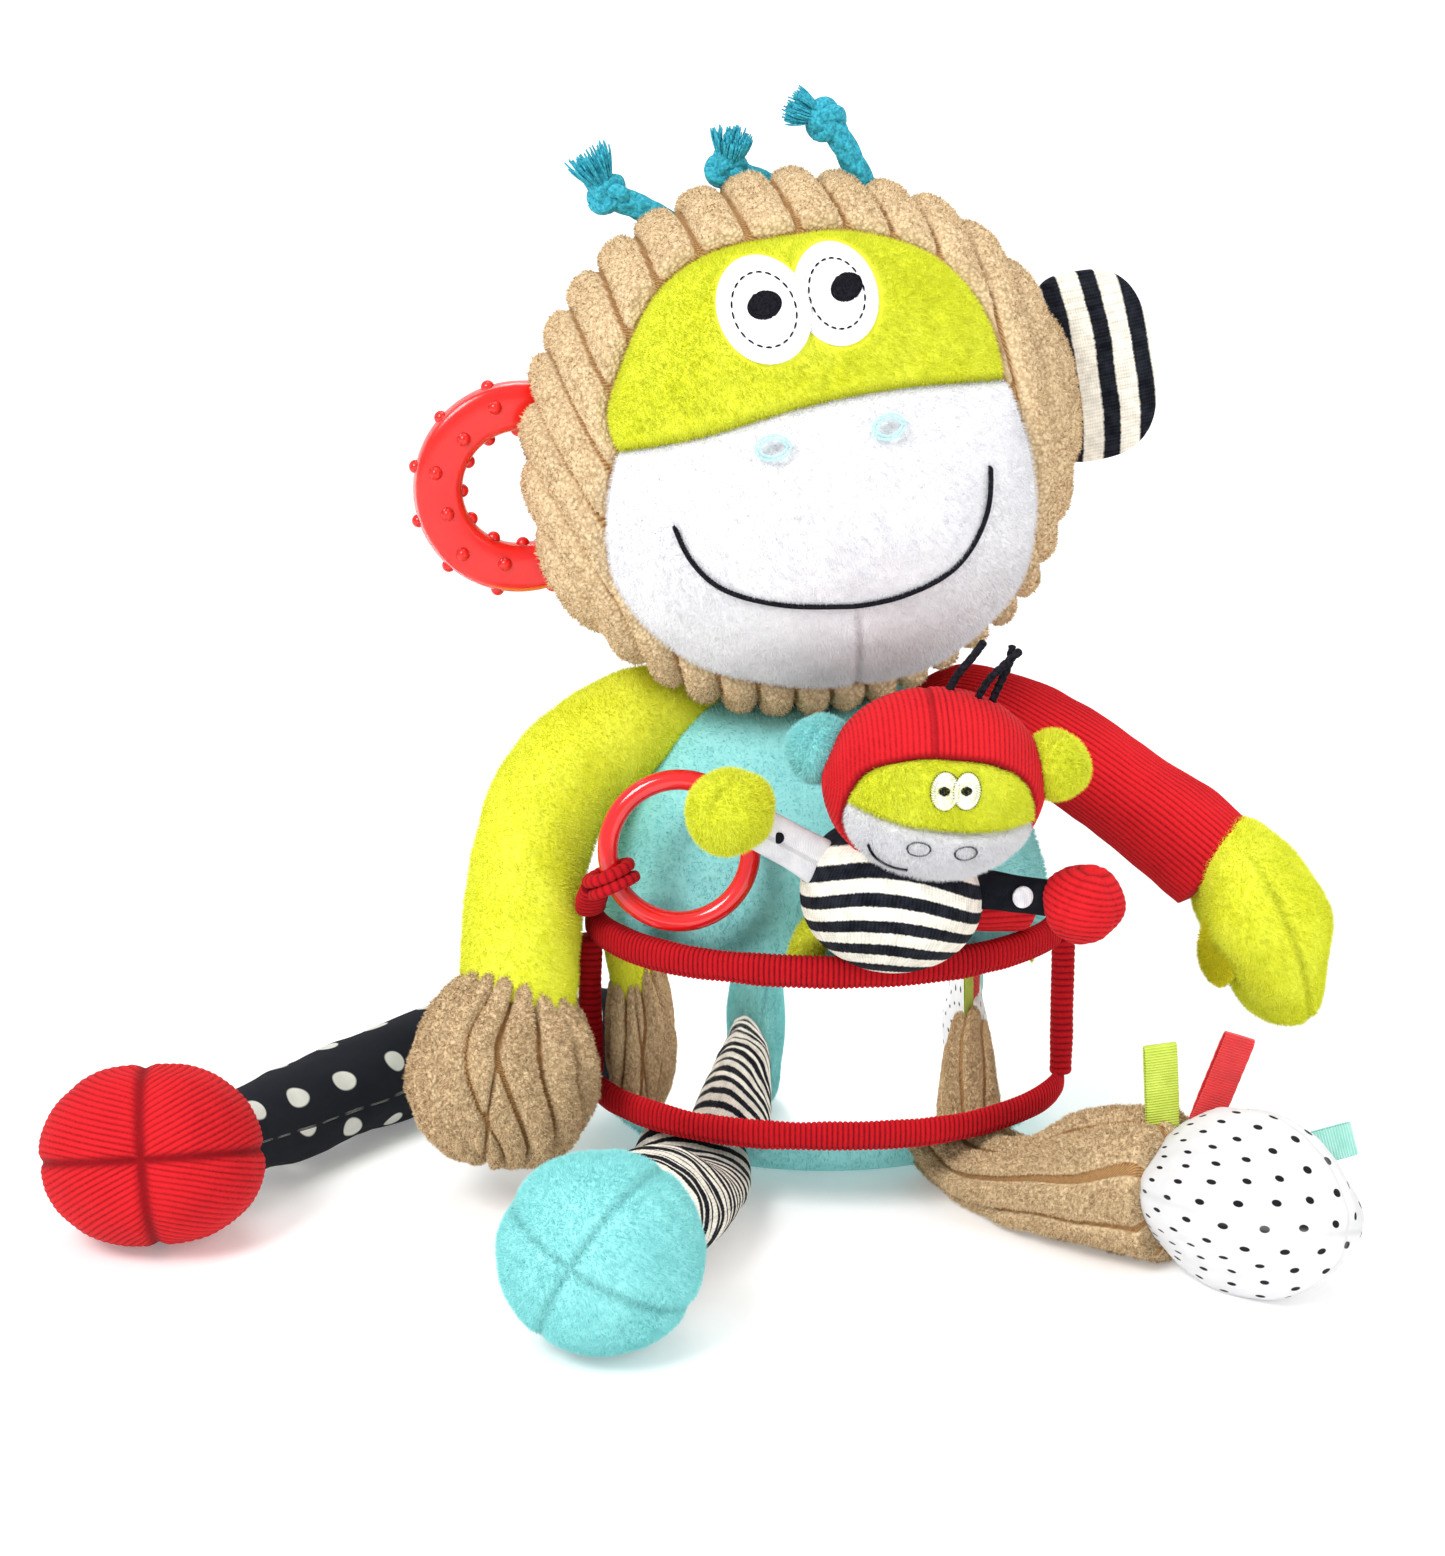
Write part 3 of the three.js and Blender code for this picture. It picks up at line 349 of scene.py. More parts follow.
M = {
    "aqua": plush("aqua_plush", (0.26, 0.66, 0.66), (0.38, 0.80, 0.795)),
    "lime": plush("lime_plush", (0.69, 0.72, 0.030), (0.83, 0.86, 0.095)),
    "white": plush("white_plush", (0.74, 0.74, 0.765), (0.85, 0.85, 0.865)),
    "tan": chunky("tan_chunky_cord"),
    "red": corduroy("red_corduroy"),
    # the binding is the same red corduroy given darker colours: painted shade
    "band": corduroy("red_corduroy_binding_painted_shade", (0.14, 0.001, 0.004), (0.50, 0.006, 0.012)),
    "jersey": knit("striped_jersey", 0.0040, 0.50, wobble=0.0004),
    "body": knit("wide_striped_knit", 0.0080, 0.50, wobble=0.0002),
    "ear": knit("ribbed_striped_knit", 0.0118, 0.46, wobble=0.0003),
    "night": dotted("black_spotted_cloth", (0.010, 0.012, 0.018), (0.80, 0.80, 0.74), 0.0033, 0.0225, 0.0190, sheen=0.02, jitter=0.35, stretch=0.8),
    "day": dotted("white_spotted_cloth", (0.86, 0.86, 0.87), (0.01, 0.01, 0.013), 0.00128, 0.0098, 0.0088, jitter=0.16),
    "teal": thread("teal_cord", (0.010, 0.21, 0.30), (0.045, 0.43, 0.54), 1100, 0.6),
    "inkthread": thread("black_thread", (0.003, 0.003, 0.005), (0.014, 0.014, 0.020), 1500, 0.6, 0.06),
    "inkcord": thread("black_cord", (0.003, 0.003, 0.005), (0.015, 0.015, 0.021), 900, 0.6, 0.07),
    "whitethread": thread("white_thread", (0.80, 0.80, 0.82), (0.95, 0.95, 0.95), 1500, 0.4),
    "bluethread": thread("pale_blue_thread", (0.36, 0.68, 0.74), (0.52, 0.80, 0.84), 1500, 0.4),
    "green": ribbon_mat("green_ribbon", (0.46, 0.60, 0.03), (0.66, 0.80, 0.10)),
    "rribbon": ribbon_mat("red_ribbon", (0.60, 0.008, 0.010), (0.84, 0.02, 0.022)),
    "mint": ribbon_mat("mint_ribbon", (0.28, 0.68, 0.58), (0.46, 0.84, 0.74)),
    "ring": plastic("glossy_red_plastic", (0.60, 0.004, 0.006), (0.78, 0.010, 0.012), 0.12, coat=0.6, sss=0.1),
    "teether": plastic("red_silicone", (0.80, 0.006, 0.004), (0.95, 0.015, 0.010), 0.20, trans=0.25, sss=0.6, coat=0.2),
    "inner": plastic("inner_plastic", (0.55, 0.55, 0.53), (0.75, 0.75, 0.72), 0.4),
    "hook": plush("lime_hook_tape", (0.68, 0.64, 0.012), (0.84, 0.80, 0.05), 0.5, 0.05),
}


def mirror_mat():
    n = Nodes("mirror_film")
    r = n.attr("rest")
    a = n.noise(r, 22, 1)
    col = n.mix(n.ramp(a, 0.3, 0.7), (0.90, 0.91, 0.91), (0.96, 0.965, 0.96))
    n.set(Base_Color=col, Metallic=1.0, Roughness=n.ramp(a, 0.3, 0.7, 0.015, 0.045), Normal=n.bump(a, 0.0006, 0.35))
    return n.mat


M["mirror"] = mirror_mat()

# ------------------------------------------------------------------ numbers: noise and curves


def _hash(ix, iy, iz, seed):
    h = (ix * 374761393 + iy * 668265263 + iz * 2147483647 + seed * 144269) & 0xFFFFFFFF
    h = ((h ^ (h >> 13)) * 1274126177) & 0xFFFFFFFF
    h = (h ^ (h >> 16)) & 0xFFFFFFFF
    return h.astype(np.float64) / 4294967295.0


def vnoise(p, size, seed=1):
    """Value noise, -1 to 1, with lumps about size mm across."""
    q = np.asarray(p, float) / size
    i = np.floor(q).astype(np.int64)
    f = q - i
    f = f * f * (3 - 2 * f)
    out = 0.0
    for dx in (0, 1):
        for dy in (0, 1):
            for dz in (0, 1):
                w = (f[..., 0] if dx else 1 - f[..., 0]) * (f[..., 1] if dy else 1 - f[..., 1]) * (f[..., 2] if dz else 1 - f[..., 2])
                out = out + w * _hash(i[..., 0] + dx, i[..., 1] + dy, i[..., 2] + dz, seed)
    return out * 2 - 1


def sstep(x, lo, hi):
    t = np.clip((x - lo) / (hi - lo), 0, 1)
    return t * t * (3 - 2 * t)


def interp_path(st, n, power=0.5):
    """Smooth curve through the stations: rows of any width; columns 0-2 are the point."""
    st = np.asarray(st, float)
    d = np.linalg.norm(np.diff(st[:, :3], axis=0), axis=1) ** power
    k = np.concatenate([[0], np.cumsum(d)])
    m = np.zeros_like(st)
    m[1:-1] = ((st[1:-1] - st[:-2]) / d[:-1, None] * d[1:, None] + (st[2:] - st[1:-1]) / d[1:, None] * d[:-1, None]) / (d[:-1] + d[1:])[:, None]
    m[0] = (st[1] - st[0]) / d[0] * 1.5 - m[1] * 0.5 if len(st) > 2 else (st[1] - st[0]) / d[0]
    m[-1] = (st[-1] - st[-2]) / d[-1] * 1.5 - m[-2] * 0.5 if len(st) > 2 else (st[1] - st[0]) / d[0]
    fine = np.linspace(0, k[-1], 600)
    j = np.clip(np.searchsorted(k, fine, side="right") - 1, 0, len(st) - 2)
    h = d[j][:, None]
    t = ((fine - k[j]) / d[j])[:, None]
    c = (2 * t**3 - 3 * t**2 + 1) * st[j] + (t**3 - 2 * t**2 + t) * h * m[j] + (-2 * t**3 + 3 * t**2) * st[j + 1] + (t**3 - t**2) * h * m[j + 1]
    s = np.concatenate([[0], np.cumsum(np.linalg.norm(np.diff(c[:, :3], axis=0), axis=1))])
    u = np.linspace(0, s[-1], n)
    return np.stack([np.interp(u, s, c[:, i]) for i in range(c.shape[1])], 1), u


def frames(pts, up=(0, 0, 1)):
    tan = np.gradient(pts, axis=0)
    tan /= np.linalg.norm(tan, axis=1)[:, None] + 1e-12
    side = np.zeros_like(tan)
    v = np.cross(np.array(up, float), tan[0])
    if np.linalg.norm(v) < 0.1:
        v = np.cross(np.array((1.0, 0, 0)), tan[0])
    v /= np.linalg.norm(v)
    for i in range(len(pts)):
        v = v - tan[i] * (v @ tan[i])
        v /= np.linalg.norm(v)
        side[i] = v
    return tan, side, np.cross(tan, side)


def normals_of(P, closed):
    if closed:
        du = np.roll(P, -1, 1) - np.roll(P, 1, 1)
    else:
        du = np.gradient(P, axis=1)
    dv = np.gradient(P, axis=0)
    n = np.cross(du, dv)
    n /= np.linalg.norm(n, axis=2)[..., None] + 1e-12
    return n


PIECES = {}


def build(name, V, F, mat, attrs=None, quads=True):
    """One mesh object from points in mm and faces."""
    me = bpy.data.meshes.new(name)
    V = np.asarray(V, np.float32)
    me.vertices.add(len(V))
    me.vertices.foreach_set("co", (V * MM).astype(np.float32).ravel())
    loops, starts = [], []
    at = 0
    for f in F:
        f = np.asarray(f, np.int32)
        loops.append(f.ravel())
        k = f.shape[1]
        starts.append(at + np.arange(len(f), dtype=np.int32) * k)
        at += f.size
    loops = np.concatenate(loops)
    starts = np.concatenate(starts)
    me.loops.add(len(loops))
    me.loops.foreach_set("vertex_index", loops)
    me.polygons.add(len(starts))
    me.polygons.foreach_set("loop_start", starts)
    me.polygons.foreach_set("use_smooth", np.ones(len(starts), bool))
    me.update(calc_edges=True)
    attrs = dict(attrs or {})
    attrs.setdefault("rest", V * MM)
    for k in ("tip", "seam", "h"):
        attrs.setdefault(k, np.zeros(len(V)))
    attrs.setdefault("uvm", V * MM)
    for k, v in attrs.items():
        v = np.asarray(v, np.float32)
        if v.ndim == 2:
            a = me.attributes.new(k, "FLOAT_VECTOR", "POINT")
            a.data.foreach_set("vector", np.ascontiguousarray(v).ravel())
        else:
            a = me.attributes.new(k, "FLOAT", "POINT")
            a.data.foreach_set("value", np.ascontiguousarray(v).ravel())
    me.materials.append(mat)
    o = bpy.data.objects.new(name, me)
    bpy.context.scene.collection.objects.link(o)
    PIECES[name] = o
    return o


def grid_faces(nv, nu, closed, flip=False):
    i = np.arange(nv - 1)[:, None]
    j = np.arange(nu if closed else nu - 1)[None, :]
    a = i * nu + j
    b = i * nu + (j + 1) % nu
    c = (i + 1) * nu + (j + 1) % nu
    d = (i + 1) * nu + j
    q = np.stack([a, b, c, d], -1).reshape(-1, 4)
    return q[:, ::-1] if flip else q


class Part:
    """Collects grids and loose geometry into one mesh."""

    def __init__(self, name, mat):
        self.name, self.mat = name, mat
        self.V, self.Q, self.T = [], [], []
        # tip and seam feed painted shade in the materials: darker fibre roots and darker seam grooves
        self.A = {"rest": [], "uvm": [], "tip": [], "seam": [], "h": []}
        self.n = 0

    def _add(self, V, uvm=None, tip=None, seam=None, h=None):
        m = len(V)
        self.V.append(V)
        z = np.zeros(m)
        self.A["rest"].append(V * MM)
        self.A["uvm"].append(V * MM if uvm is None else np.asarray(uvm) * MM)
        self.A["tip"].append(z if tip is None else tip)
        self.A["seam"].append(z if seam is None else seam)
        self.A["h"].append(z if h is None else h)
        at = self.n
        self.n += m
        return at

    def grid(self, P, closed=True, uv=None, seam=None, h=None, caps=True, flip=False, tip=None):
        nv, nu = P.shape[:2]
        fl = lambda a: None if a is None else np.broadcast_to(a, (nv, nu)).reshape(-1)
        uvm = None
        if uv is not None:
            uvm = np.stack([np.broadcast_to(uv[0], (nv, nu)).ravel(), np.broadcast_to(uv[1], (nv, nu)).ravel(), np.zeros(nv * nu)], 1)
        at = self._add(P.reshape(-1, 3), uvm, fl(tip), fl(seam), fl(h))
        self.Q.append(grid_faces(nv, nu, closed, flip) + at)
        if closed and caps:
            for row, rev in ((nv - 1, False),) if caps == "end" else ((0, True), (nv - 1, False)):
                c = P[row].mean(0)
                idx = at + row * nu + np.arange(nu)
                one = lambda a: None if a is None else np.array([fl(a)[row * nu]])
                ca = self._add(c[None], None if uvm is None else uvm[[row * nu]], one(tip), one(seam), one(h))
                a, b = idx, np.roll(idx, -1)
                t = np.stack([np.full(nu, ca), b, a] if rev else [np.full(nu, ca), a, b], 1)
                self.T.append(t[:, ::-1] if flip else t)
        return self

    def pile(self, P, N, count, length, width, closed=True, lean=0.5, seed=3, comb=(0, 0, -0.5), uv=None, seam=None, h=None, keep=None, curl=0.0):
        """Short fibres standing on a grid, one thin triangle each."""
        count = int(count * DENS)
        rg = np.random.default_rng(seed)
        nv, nu = P.shape[:2]
        a = P[:-1]
        b = np.roll(a, -1, 1) if closed else a[:, 1:]
        d = P[1:]
        if not closed:
            a = a[:, :-1]
            d = d[:, :-1]
        area = np.linalg.norm(np.cross(b - a, d - a), axis=2)
        if keep is not None:
            area = area * keep[: area.shape[0], : area.shape[1]]
        w = area.ravel() / area.sum()
        pick = rg.choice(len(w), count, p=w)
        iv, iu = np.divmod(pick, area.shape[1])
        fu, fv = rg.random(count), rg.random(count)
        iu2 = (iu + 1) % nu

        def lerp(X):
            X = np.asarray(X)
            if X.ndim == 2:
                g = lambda i, j: X[i, j]
                f1, f2 = fu, fv
            else:
                g = lambda i, j: X[i, j]
                f1, f2 = fu[:, None], fv[:, None]
            return (g(iv, iu) * (1 - f1) + g(iv, iu2) * f1) * (1 - f2) + (g(iv + 1, iu) * (1 - f1) + g(iv + 1, iu2) * f1) * f2

        root, nor = lerp(P), lerp(N)
        nor /= np.linalg.norm(nor, axis=1)[:, None] + 1e-9
        rnd = rg.normal(size=(count, 3))
        rnd -= nor * (rnd * nor).sum(1)[:, None]
        rnd /= np.linalg.norm(rnd, axis=1)[:, None] + 1e-9
        cmb = np.array(comb, float)[None] - nor * (nor @ np.array(comb, float))[:, None]
        patch = vnoise(root, 9.0, seed + 5)[:, None]
        cmb = cmb * (0.6 + 0.7 * patch)
        L = length * (0.55 + 0.7 * rg.random(count))[:, None]
        hh = None if h is None else lerp(np.broadcast_to(h, (nv, nu)))
        if hh is not None:
            L = L * (0.15 + 0.85 * np.clip(hh, 0, 1))[:, None]
        tip = root + L * (nor * (1 - 0.25 * lean) + rnd * lean * 0.55 + cmb)
        side = np.cross(nor, rg.normal(size=(count, 3)))
        side /= np.linalg.norm(side, axis=1)[:, None] + 1e-9
        base = root - nor * 0.12
        tri = np.stack([base - side * width / 2, base + side * width / 2, tip], 1).reshape(-1, 3)
        rep = lambda x: np.repeat(x, 3)
        uvm = None
        if uv is not None:
            uu = lerp(np.broadcast_to(uv[0], (nv, nu)))
            vv = lerp(np.broadcast_to(uv[1], (nv, nu)))
            uvm = np.stack([rep(uu), rep(vv), np.zeros(3 * count)], 1)
        # tip: low at the fibre root, 1 at the tip; the materials paint the roots darker and the tips lighter, as
        # painted shade and light
        tipv = np.tile([0.15, 0.15, 1.0], count) * np.repeat(0.5 + 0.5 * rg.random(count), 3)
        at = self._add(tri, uvm, tipv, None if seam is None else rep(lerp(np.broadcast_to(seam, (nv, nu)))), None if hh is None else rep(hh))
        self.T.append(at + np.arange(3 * count).reshape(-1, 3))
        return self

    def done(self, body=None, replaces=(), slot=None, padded=None):
        F = []
        if self.Q:
            F.append(np.concatenate(self.Q))
        if self.T:
            F.append(np.concatenate(self.T))
        A = {k: np.concatenate(v) for k, v in self.A.items()}
        V = np.concatenate(self.V)
        V[:, 2] = np.maximum(V[:, 2], 0.06)
        o = build(self.name, V, F, self.mat, A)
        if body:
            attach(o, body)
        if replaces:
            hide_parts(*replaces)
        return o


def tube_grid(st, nv, nu, disp=None, up=(0, 0, 1), round_a=0.0, round_b=0.0, power=2.0):
    """Stations are x, y, z, half width, half height. disp(s, phi, P, r) moves a point out, in mm."""
    c, s = interp_path(st, nv)
    tan, side, upv = frames(c[:, :3], up)
    phi = np.linspace(0, 2 * math.pi, nu, endpoint=False)
    cs, sn = np.cos(phi), np.sin(phi)
    e = 2.0 / power
    cx = np.sign(cs) * np.abs(cs) ** e
    sy = np.sign(sn) * np.abs(sn) ** e
    L = s[-1]
    taper = np.ones(nv)
    if round_a:
        q = np.clip(s / round_a, 0, 1)
        taper *= np.sqrt(np.clip(1 - (1 - q) ** 2, 0.0004, 1))
    if round_b:
        q = np.clip((L - s) / round_b, 0, 1)
        taper *= np.sqrt(np.clip(1 - (1 - q) ** 2, 0.0004, 1))
    a = (c[:, 3] * taper)[:, None]
    b = (c[:, 4] * taper)[:, None]
    off = a[..., None] * cx[None, :, None] * side[:, None, :] + b[..., None] * sy[None, :, None] * upv[:, None, :]
    P = c[:, None, :3] + off
    rad = np.linalg.norm(off, axis=2)
    if disp is not None:
        nrm = off / (rad[..., None] + 1e-9)
        d = disp(np.broadcast_to(s[:, None], rad.shape), np.broadcast_to(phi[None, :], rad.shape), P, rad)
        P = P + nrm * (d * taper[:, None])[..., None]
    circ = phi[None, :] * np.maximum(np.mean([c[:, 3], c[:, 4]], 0), 1e-3)[:, None]
    return P, s, phi, circ


def wale(w, floor=0.80):
    """Height of a puffy wale, 0 to 1, from its phase."""
    d = np.abs((w - np.floor(w)) * 2 - 1) / floor
    return np.sqrt(np.clip(1 - d**2.2, 0, 1))


def terry(P, amp=0.42, seed=11):
    return amp * (0.6 * vnoise(P, 1.9, seed) + 0.4 * vnoise(P, 1.0, seed + 1)) + 0.35 * vnoise(P, 5.0, seed + 2)


def pod_grid(at, dir, long, wide, tall, nv, nu, up=(0, 0, 1), disp=None, turn=0.0, point=0.0, shape=None):
    """Closed ellipsoid with poles on dir. Returns points, normals, and arrays t (0 root, 1 far pole), phi."""
    d = np.array(dir, float)
    d /= np.linalg.norm(d)
    side = np.cross(np.array(up, float), d)
    side /= np.linalg.norm(side)
    u = np.cross(d, side)
    th = np.linspace(0.012, math.pi - 0.012, nv)[:, None]
    ph = (np.linspace(0, 2 * math.pi, nu, endpoint=False) + turn)[None, :]
    ax = -np.cos(th) * long * (1 + point * np.clip(-np.cos(th), 0, 1) ** 8)
    X = np.sin(th) * np.cos(ph)
    Z = np.sin(th) * np.sin(ph)
    if shape is not None:
        ax, X, Z = shape(ax / long, X, Z)
        ax = ax * long
    off = (ax + 0 * ph)[..., None] * d + (X * wide)[..., None] * side + (Z * tall)[..., None] * u
    N = (ax / long**2 + 0 * ph)[..., None] * d + (X / wide)[..., None] * side + (Z / tall)[..., None] * u
    N /= np.linalg.norm(N, axis=2)[..., None]
    P = np.array(at, float) + off
    if disp is not None:
        dd = disp(th + 0 * ph, ph + 0 * th, P, off)
        P = P + N * dd[..., None]
    return P, N, th + 0 * ph, ph + 0 * th


def gores(th, ph, count=4, turn=0.0, depth=1.3, width=0.10, puff=0.8, end=2.2):
    """Panels that meet at the far pole: a groove along each seam and a soft crown between."""
    a = (ph - turn) * count / (2 * math.pi)
    d = np.abs(a - np.round(a)) * 2 * math.pi / count  # angle to the nearest seam
    lat = np.sin(th)
    arc = d * lat  # share of the radius
    fade = sstep(th, 0.5, 1.3)
    g = np.exp(-((arc / width) ** 2)) * fade
    pole = np.exp(-(((math.pi - th) / 0.16) ** 2))
    return -depth * g + puff * (1 - np.exp(-((arc / 0.35) ** 2))) * fade * lat - end * 0.35 * pole, g


def satin(part, A, B, r, lift, seg=5, sides=5):
    """Embroidery threads as small arched tubes from A[i] to B[i]; lift is each one's outward direction."""
    A, B, lift = np.asarray(A, float), np.asarray(B, float), np.asarray(lift, float)
    n = len(A)
    t = np.linspace(0, 1, seg)
    c = A[:, None] * (1 - t)[None, :, None] + B[:, None] * t[None, :, None]
    arch = np.sin(math.pi * t) ** 0.6
    c = c + lift[:, None] * (arch * r * 0.9)[None, :, None]
    tan = (B - A) / (np.linalg.norm(B - A, axis=1)[:, None] + 1e-9)
    side = np.cross(tan, lift)
    side /= np.linalg.norm(side, axis=1)[:, None] + 1e-9
    ph = np.linspace(0, 2 * math.pi, sides, endpoint=False)
    rr = r * (0.35 + 0.65 * np.sin(math.pi * np.clip(t * 0.96 + 0.02, 0, 1)) ** 0.35)
    ring = c[:, :, None] + rr[None, :, None, None] * (np.cos(ph)[None, None, :, None] * side[:, None, None] + np.sin(ph)[None, None, :, None] * lift[:, None, None])
    V = ring.reshape(-1, 3)
    q = grid_faces(seg, sides, True)
    at = part._add(V)
    part.Q.append((q[None] + at + (np.arange(n) * seg * sides)[:, None, None]).reshape(-1, 4))
    cap = np.arange(sides)
    for row, rev in ((0, True), (seg - 1, False)):
        base = at + (np.arange(n) * seg * sides)[:, None] + row * sides
        for k in range(1, sides - 1):
            tri = np.stack([base[:, 0], base[:, 0] + k, base[:, 0] + k + 1], 1)
            part.T.append(tri[:, ::-1] if rev else tri)
    return part


# ------------------------------------------------------------------ head
def rot(axis, deg):
    return np.array(Matrix.Rotation(math.radians(deg), 3, axis))


RH = rot("Z", 9) @ rot("Y", -10)
H0 = np.array([-9.0, -8.0, 226.5])
HA, HF, HB, HC = 84.0, 65.0, 58.0, 81.0


def wld(P, Rm=RH, o=H0):
    return P @ Rm.T + o


def ell_normal(P, a=HA, f=HF, b=HB, c=HC):
    d = np.where(P[..., 1] < 0, f, b)
    n = np.stack([P[..., 0] / a**2, P[..., 1] / d**2, P[..., 2] / c**2], -1)
    return n / np.linalg.norm(n, axis=-1)[..., None]


def face_y(x, z, a=HA, f=HF, c=HC):
    return -f * np.sqrt(np.clip(1 - (x / a) ** 2 - (z / c) ** 2, 0.02, 1))


def curve2(pts, n):
    p = np.array([[x, 0.0, z] for x, z in pts])
    c, _ = interp_path(p, n)
    return c[:, [0, 2]]


SEAM = curve2([(-59.4, 19.5), (-35.5, 21.6), (-6.2, 25.5), (23.8, 24.7), (58.2, 17.3)], 260)
TOP = curve2([(-59.4, 19.5), (-60.0, 30), (-54.7, 41.2), (-39.3, 60.8), (-22.2, 69.6), (4.4, 71.0), (25, 67.6), (46.9, 54.8), (57.0, 36.8), (58.2, 17.3)], 260)
LOW_ = curve2([(-59.4, 19.5), (-66.0, -0.5), (-66.4, -23.4), (-50.7, -48.1), (-25.9, -62.8), (-1.7, -69.6), (28.7, -70.2), (51.8, -53.5), (61.5, -28.7), (62.1, -2.4), (58.2, 17.3)], 260)
EYES = [(-9.9, 51.6, 12.7, 13.4), (11.2, 52.2, 11.9, 12.9)]


def near_eye(x, z, grow=1.0):
    v = 9.0
    for ex, ez, rx, rz in EYES:
        v = np.minimum(v, np.sqrt(((x - ex) / (rx + grow)) ** 2 + ((z - ez) / (rz + grow)) ** 2))
    return v


def face_sheet(name, mat, a, b, nv, puff, count, node, seed, swell):
    v = (1 - np.cos(np.linspace(0, math.pi, nv))) / 2
    xz = a[None] * (1 - v)[:, None, None] + b[None] * v[:, None, None]
    gap = np.linalg.norm(b - a, axis=1)[None, :]
    dist = np.minimum(v[:, None] * gap, (1 - v)[:, None] * gap)
    L = np.stack([xz[..., 0], face_y(xz[..., 0], xz[..., 1]), xz[..., 1]], -1)
    N = ell_normal(L)
    g = np.exp(-((dist / 2.0) ** 2))
    d = -2.8 * g + puff * (1 - np.exp(-((dist / 16.0) ** 2)))
    d = d + 0.5 * vnoise(L, 14, seed) * (1 - g) + 0.22 * vnoise(L, 5, seed + 1) * (1 - g)
    d = d + swell(L)
    e = near_eye(L[..., 0], L[..., 2])
    flat = sstep(e, 0.95, 1.25)
    d = d * flat + (puff - 0.3) * (1 - flat)
    P = L + N * d[..., None]
    Pw, Nw = wld(P), wld(N, o=0)
    Pe = np.concatenate([(Pw[0] - Nw[0] * 4)[None], Pw, (Pw[-1] - Nw[-1] * 4)[None]])
    ge = np.concatenate([g[:1], g, g[-1:]])
    part = Part(name, mat)
    # seam: the materials paint the panel-edge grooves darker, as shade
    part.grid(Pe, closed=False, seam=ge, flip=True)
    Ng = normals_of(Pw, False)
    Ng *= np.sign((Ng * Nw).sum(-1))[..., None]
    part.pile(Pw, Ng, count, 1.5, 0.20, closed=False, lean=0.55, seed=seed, comb=(0.05, 0, -0.35), seam=g, keep=(sstep(e, 1.0, 1.05)))
    return part


def brow_swell(L):
    return 0 * L[..., 0]


def muzzle_swell(L):
    x, z = L[..., 0], L[..., 2]
    dart = np.exp(-(((x - 0.4) / 1.6) ** 2)) * sstep(-z, 34, 40)
    cheeks = 2.2 * np.exp(-(((x + 32) / 24) ** 2 + ((z + 22) / 24) ** 2)) + 2.2 * np.exp(-(((x - 32) / 24) ** 2 + ((z + 24) / 24) ** 2))
    return cheeks - 1.5 * dart + 1.0 * np.exp(-((z + 46) / 14) ** 2)


brow = face_sheet("brow_plush", M["lime"], SEAM, TOP, 110, 1.6, 62000, "brow_panel", 21, brow_swell)
brow.done("head", ["brow_panel"], "lime_plush", 0.8)
muz = face_sheet("muzzle_plush", M["white"], LOW_, SEAM, 130, 2.6, 80000, "muzzle_panel", 22, muzzle_swell)
muz.done("head", ["muzzle_panel"], "white_plush", 0.8)


def on_face(x, z, lift, swell=0.0):
    x, z = np.asarray(x, float), np.asarray(z, float)
    L = np.stack([x, face_y(x, z), z], -1)
    N = ell_normal(L)
    return wld(L + N * (lift + swell)[..., None] if np.ndim(lift + swell) else L + N * (lift + swell)), wld(N, o=0)


def muz_lift(x, z):
    L = np.stack([x, face_y(x, z), z], -1)
    return 2.6 + muzzle_swell(L)


# the corduroy back of the head
nv, nu = ((140, 410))
ring = np.concatenate([TOP[::-1], LOW_[1:-1]])
ra = np.arctan2(ring[:, 1] / HC, ring[:, 0] / HA)
rs = np.hypot(ring[:, 0] / HA, ring[:, 1] / HC)
o = np.argsort(ra)
al = np.linspace(-math.pi, math.pi, nu, endpoint=False)
psb = np.arcsin(np.clip(np.interp(al, ra[o], rs[o], period=2 * math.pi), 0, 0.999))
v = np.linspace(0, 1, nv) ** 1.0
psi = psb[None] + (math.pi - 0.003 - psb[None]) * v[:, None]
alg = np.broadcast_to(al[None], psi.shape)
dep = np.where(np.cos(psi) > 0, HF, HB)
L = np.stack([HA * np.sin(psi) * np.cos(alg), -dep * np.cos(psi), HC * np.sin(psi) * np.sin(alg)], -1)
N = ell_normal(L)
dist = (psi - psb[None]) * 68.0
aa_ = np.arctan2(L[..., 2], L[..., 0])
X = np.hypot(L[..., 0], L[..., 2]) * np.cos(aa_ - np.radians(9.5) * (1 - np.cos(aa_)))
X = np.clip(X + 1.6 * vnoise(L, 45, 5), -HA * 1.05, HA * 1.05)
phase = HA * 1.12 * np.arcsin(X / (HA * 1.12)) / 12.6 + 0.62
h = wale(phase, 0.90)
edge = np.exp(-((dist / 1.8) ** 2))
h = h * (1 - edge)
back_seam = 0.0 * L[..., 0]
hh = h * (1 - back_seam)
d = -2.3 + 4.2 * hh + terry(L, 0.8, 31) * sstep(hh, 0.15, 0.6) - 1.4 * edge + 1.3 * vnoise(L, 30, 7) * (1 - edge)
P = L + N * d[..., None]
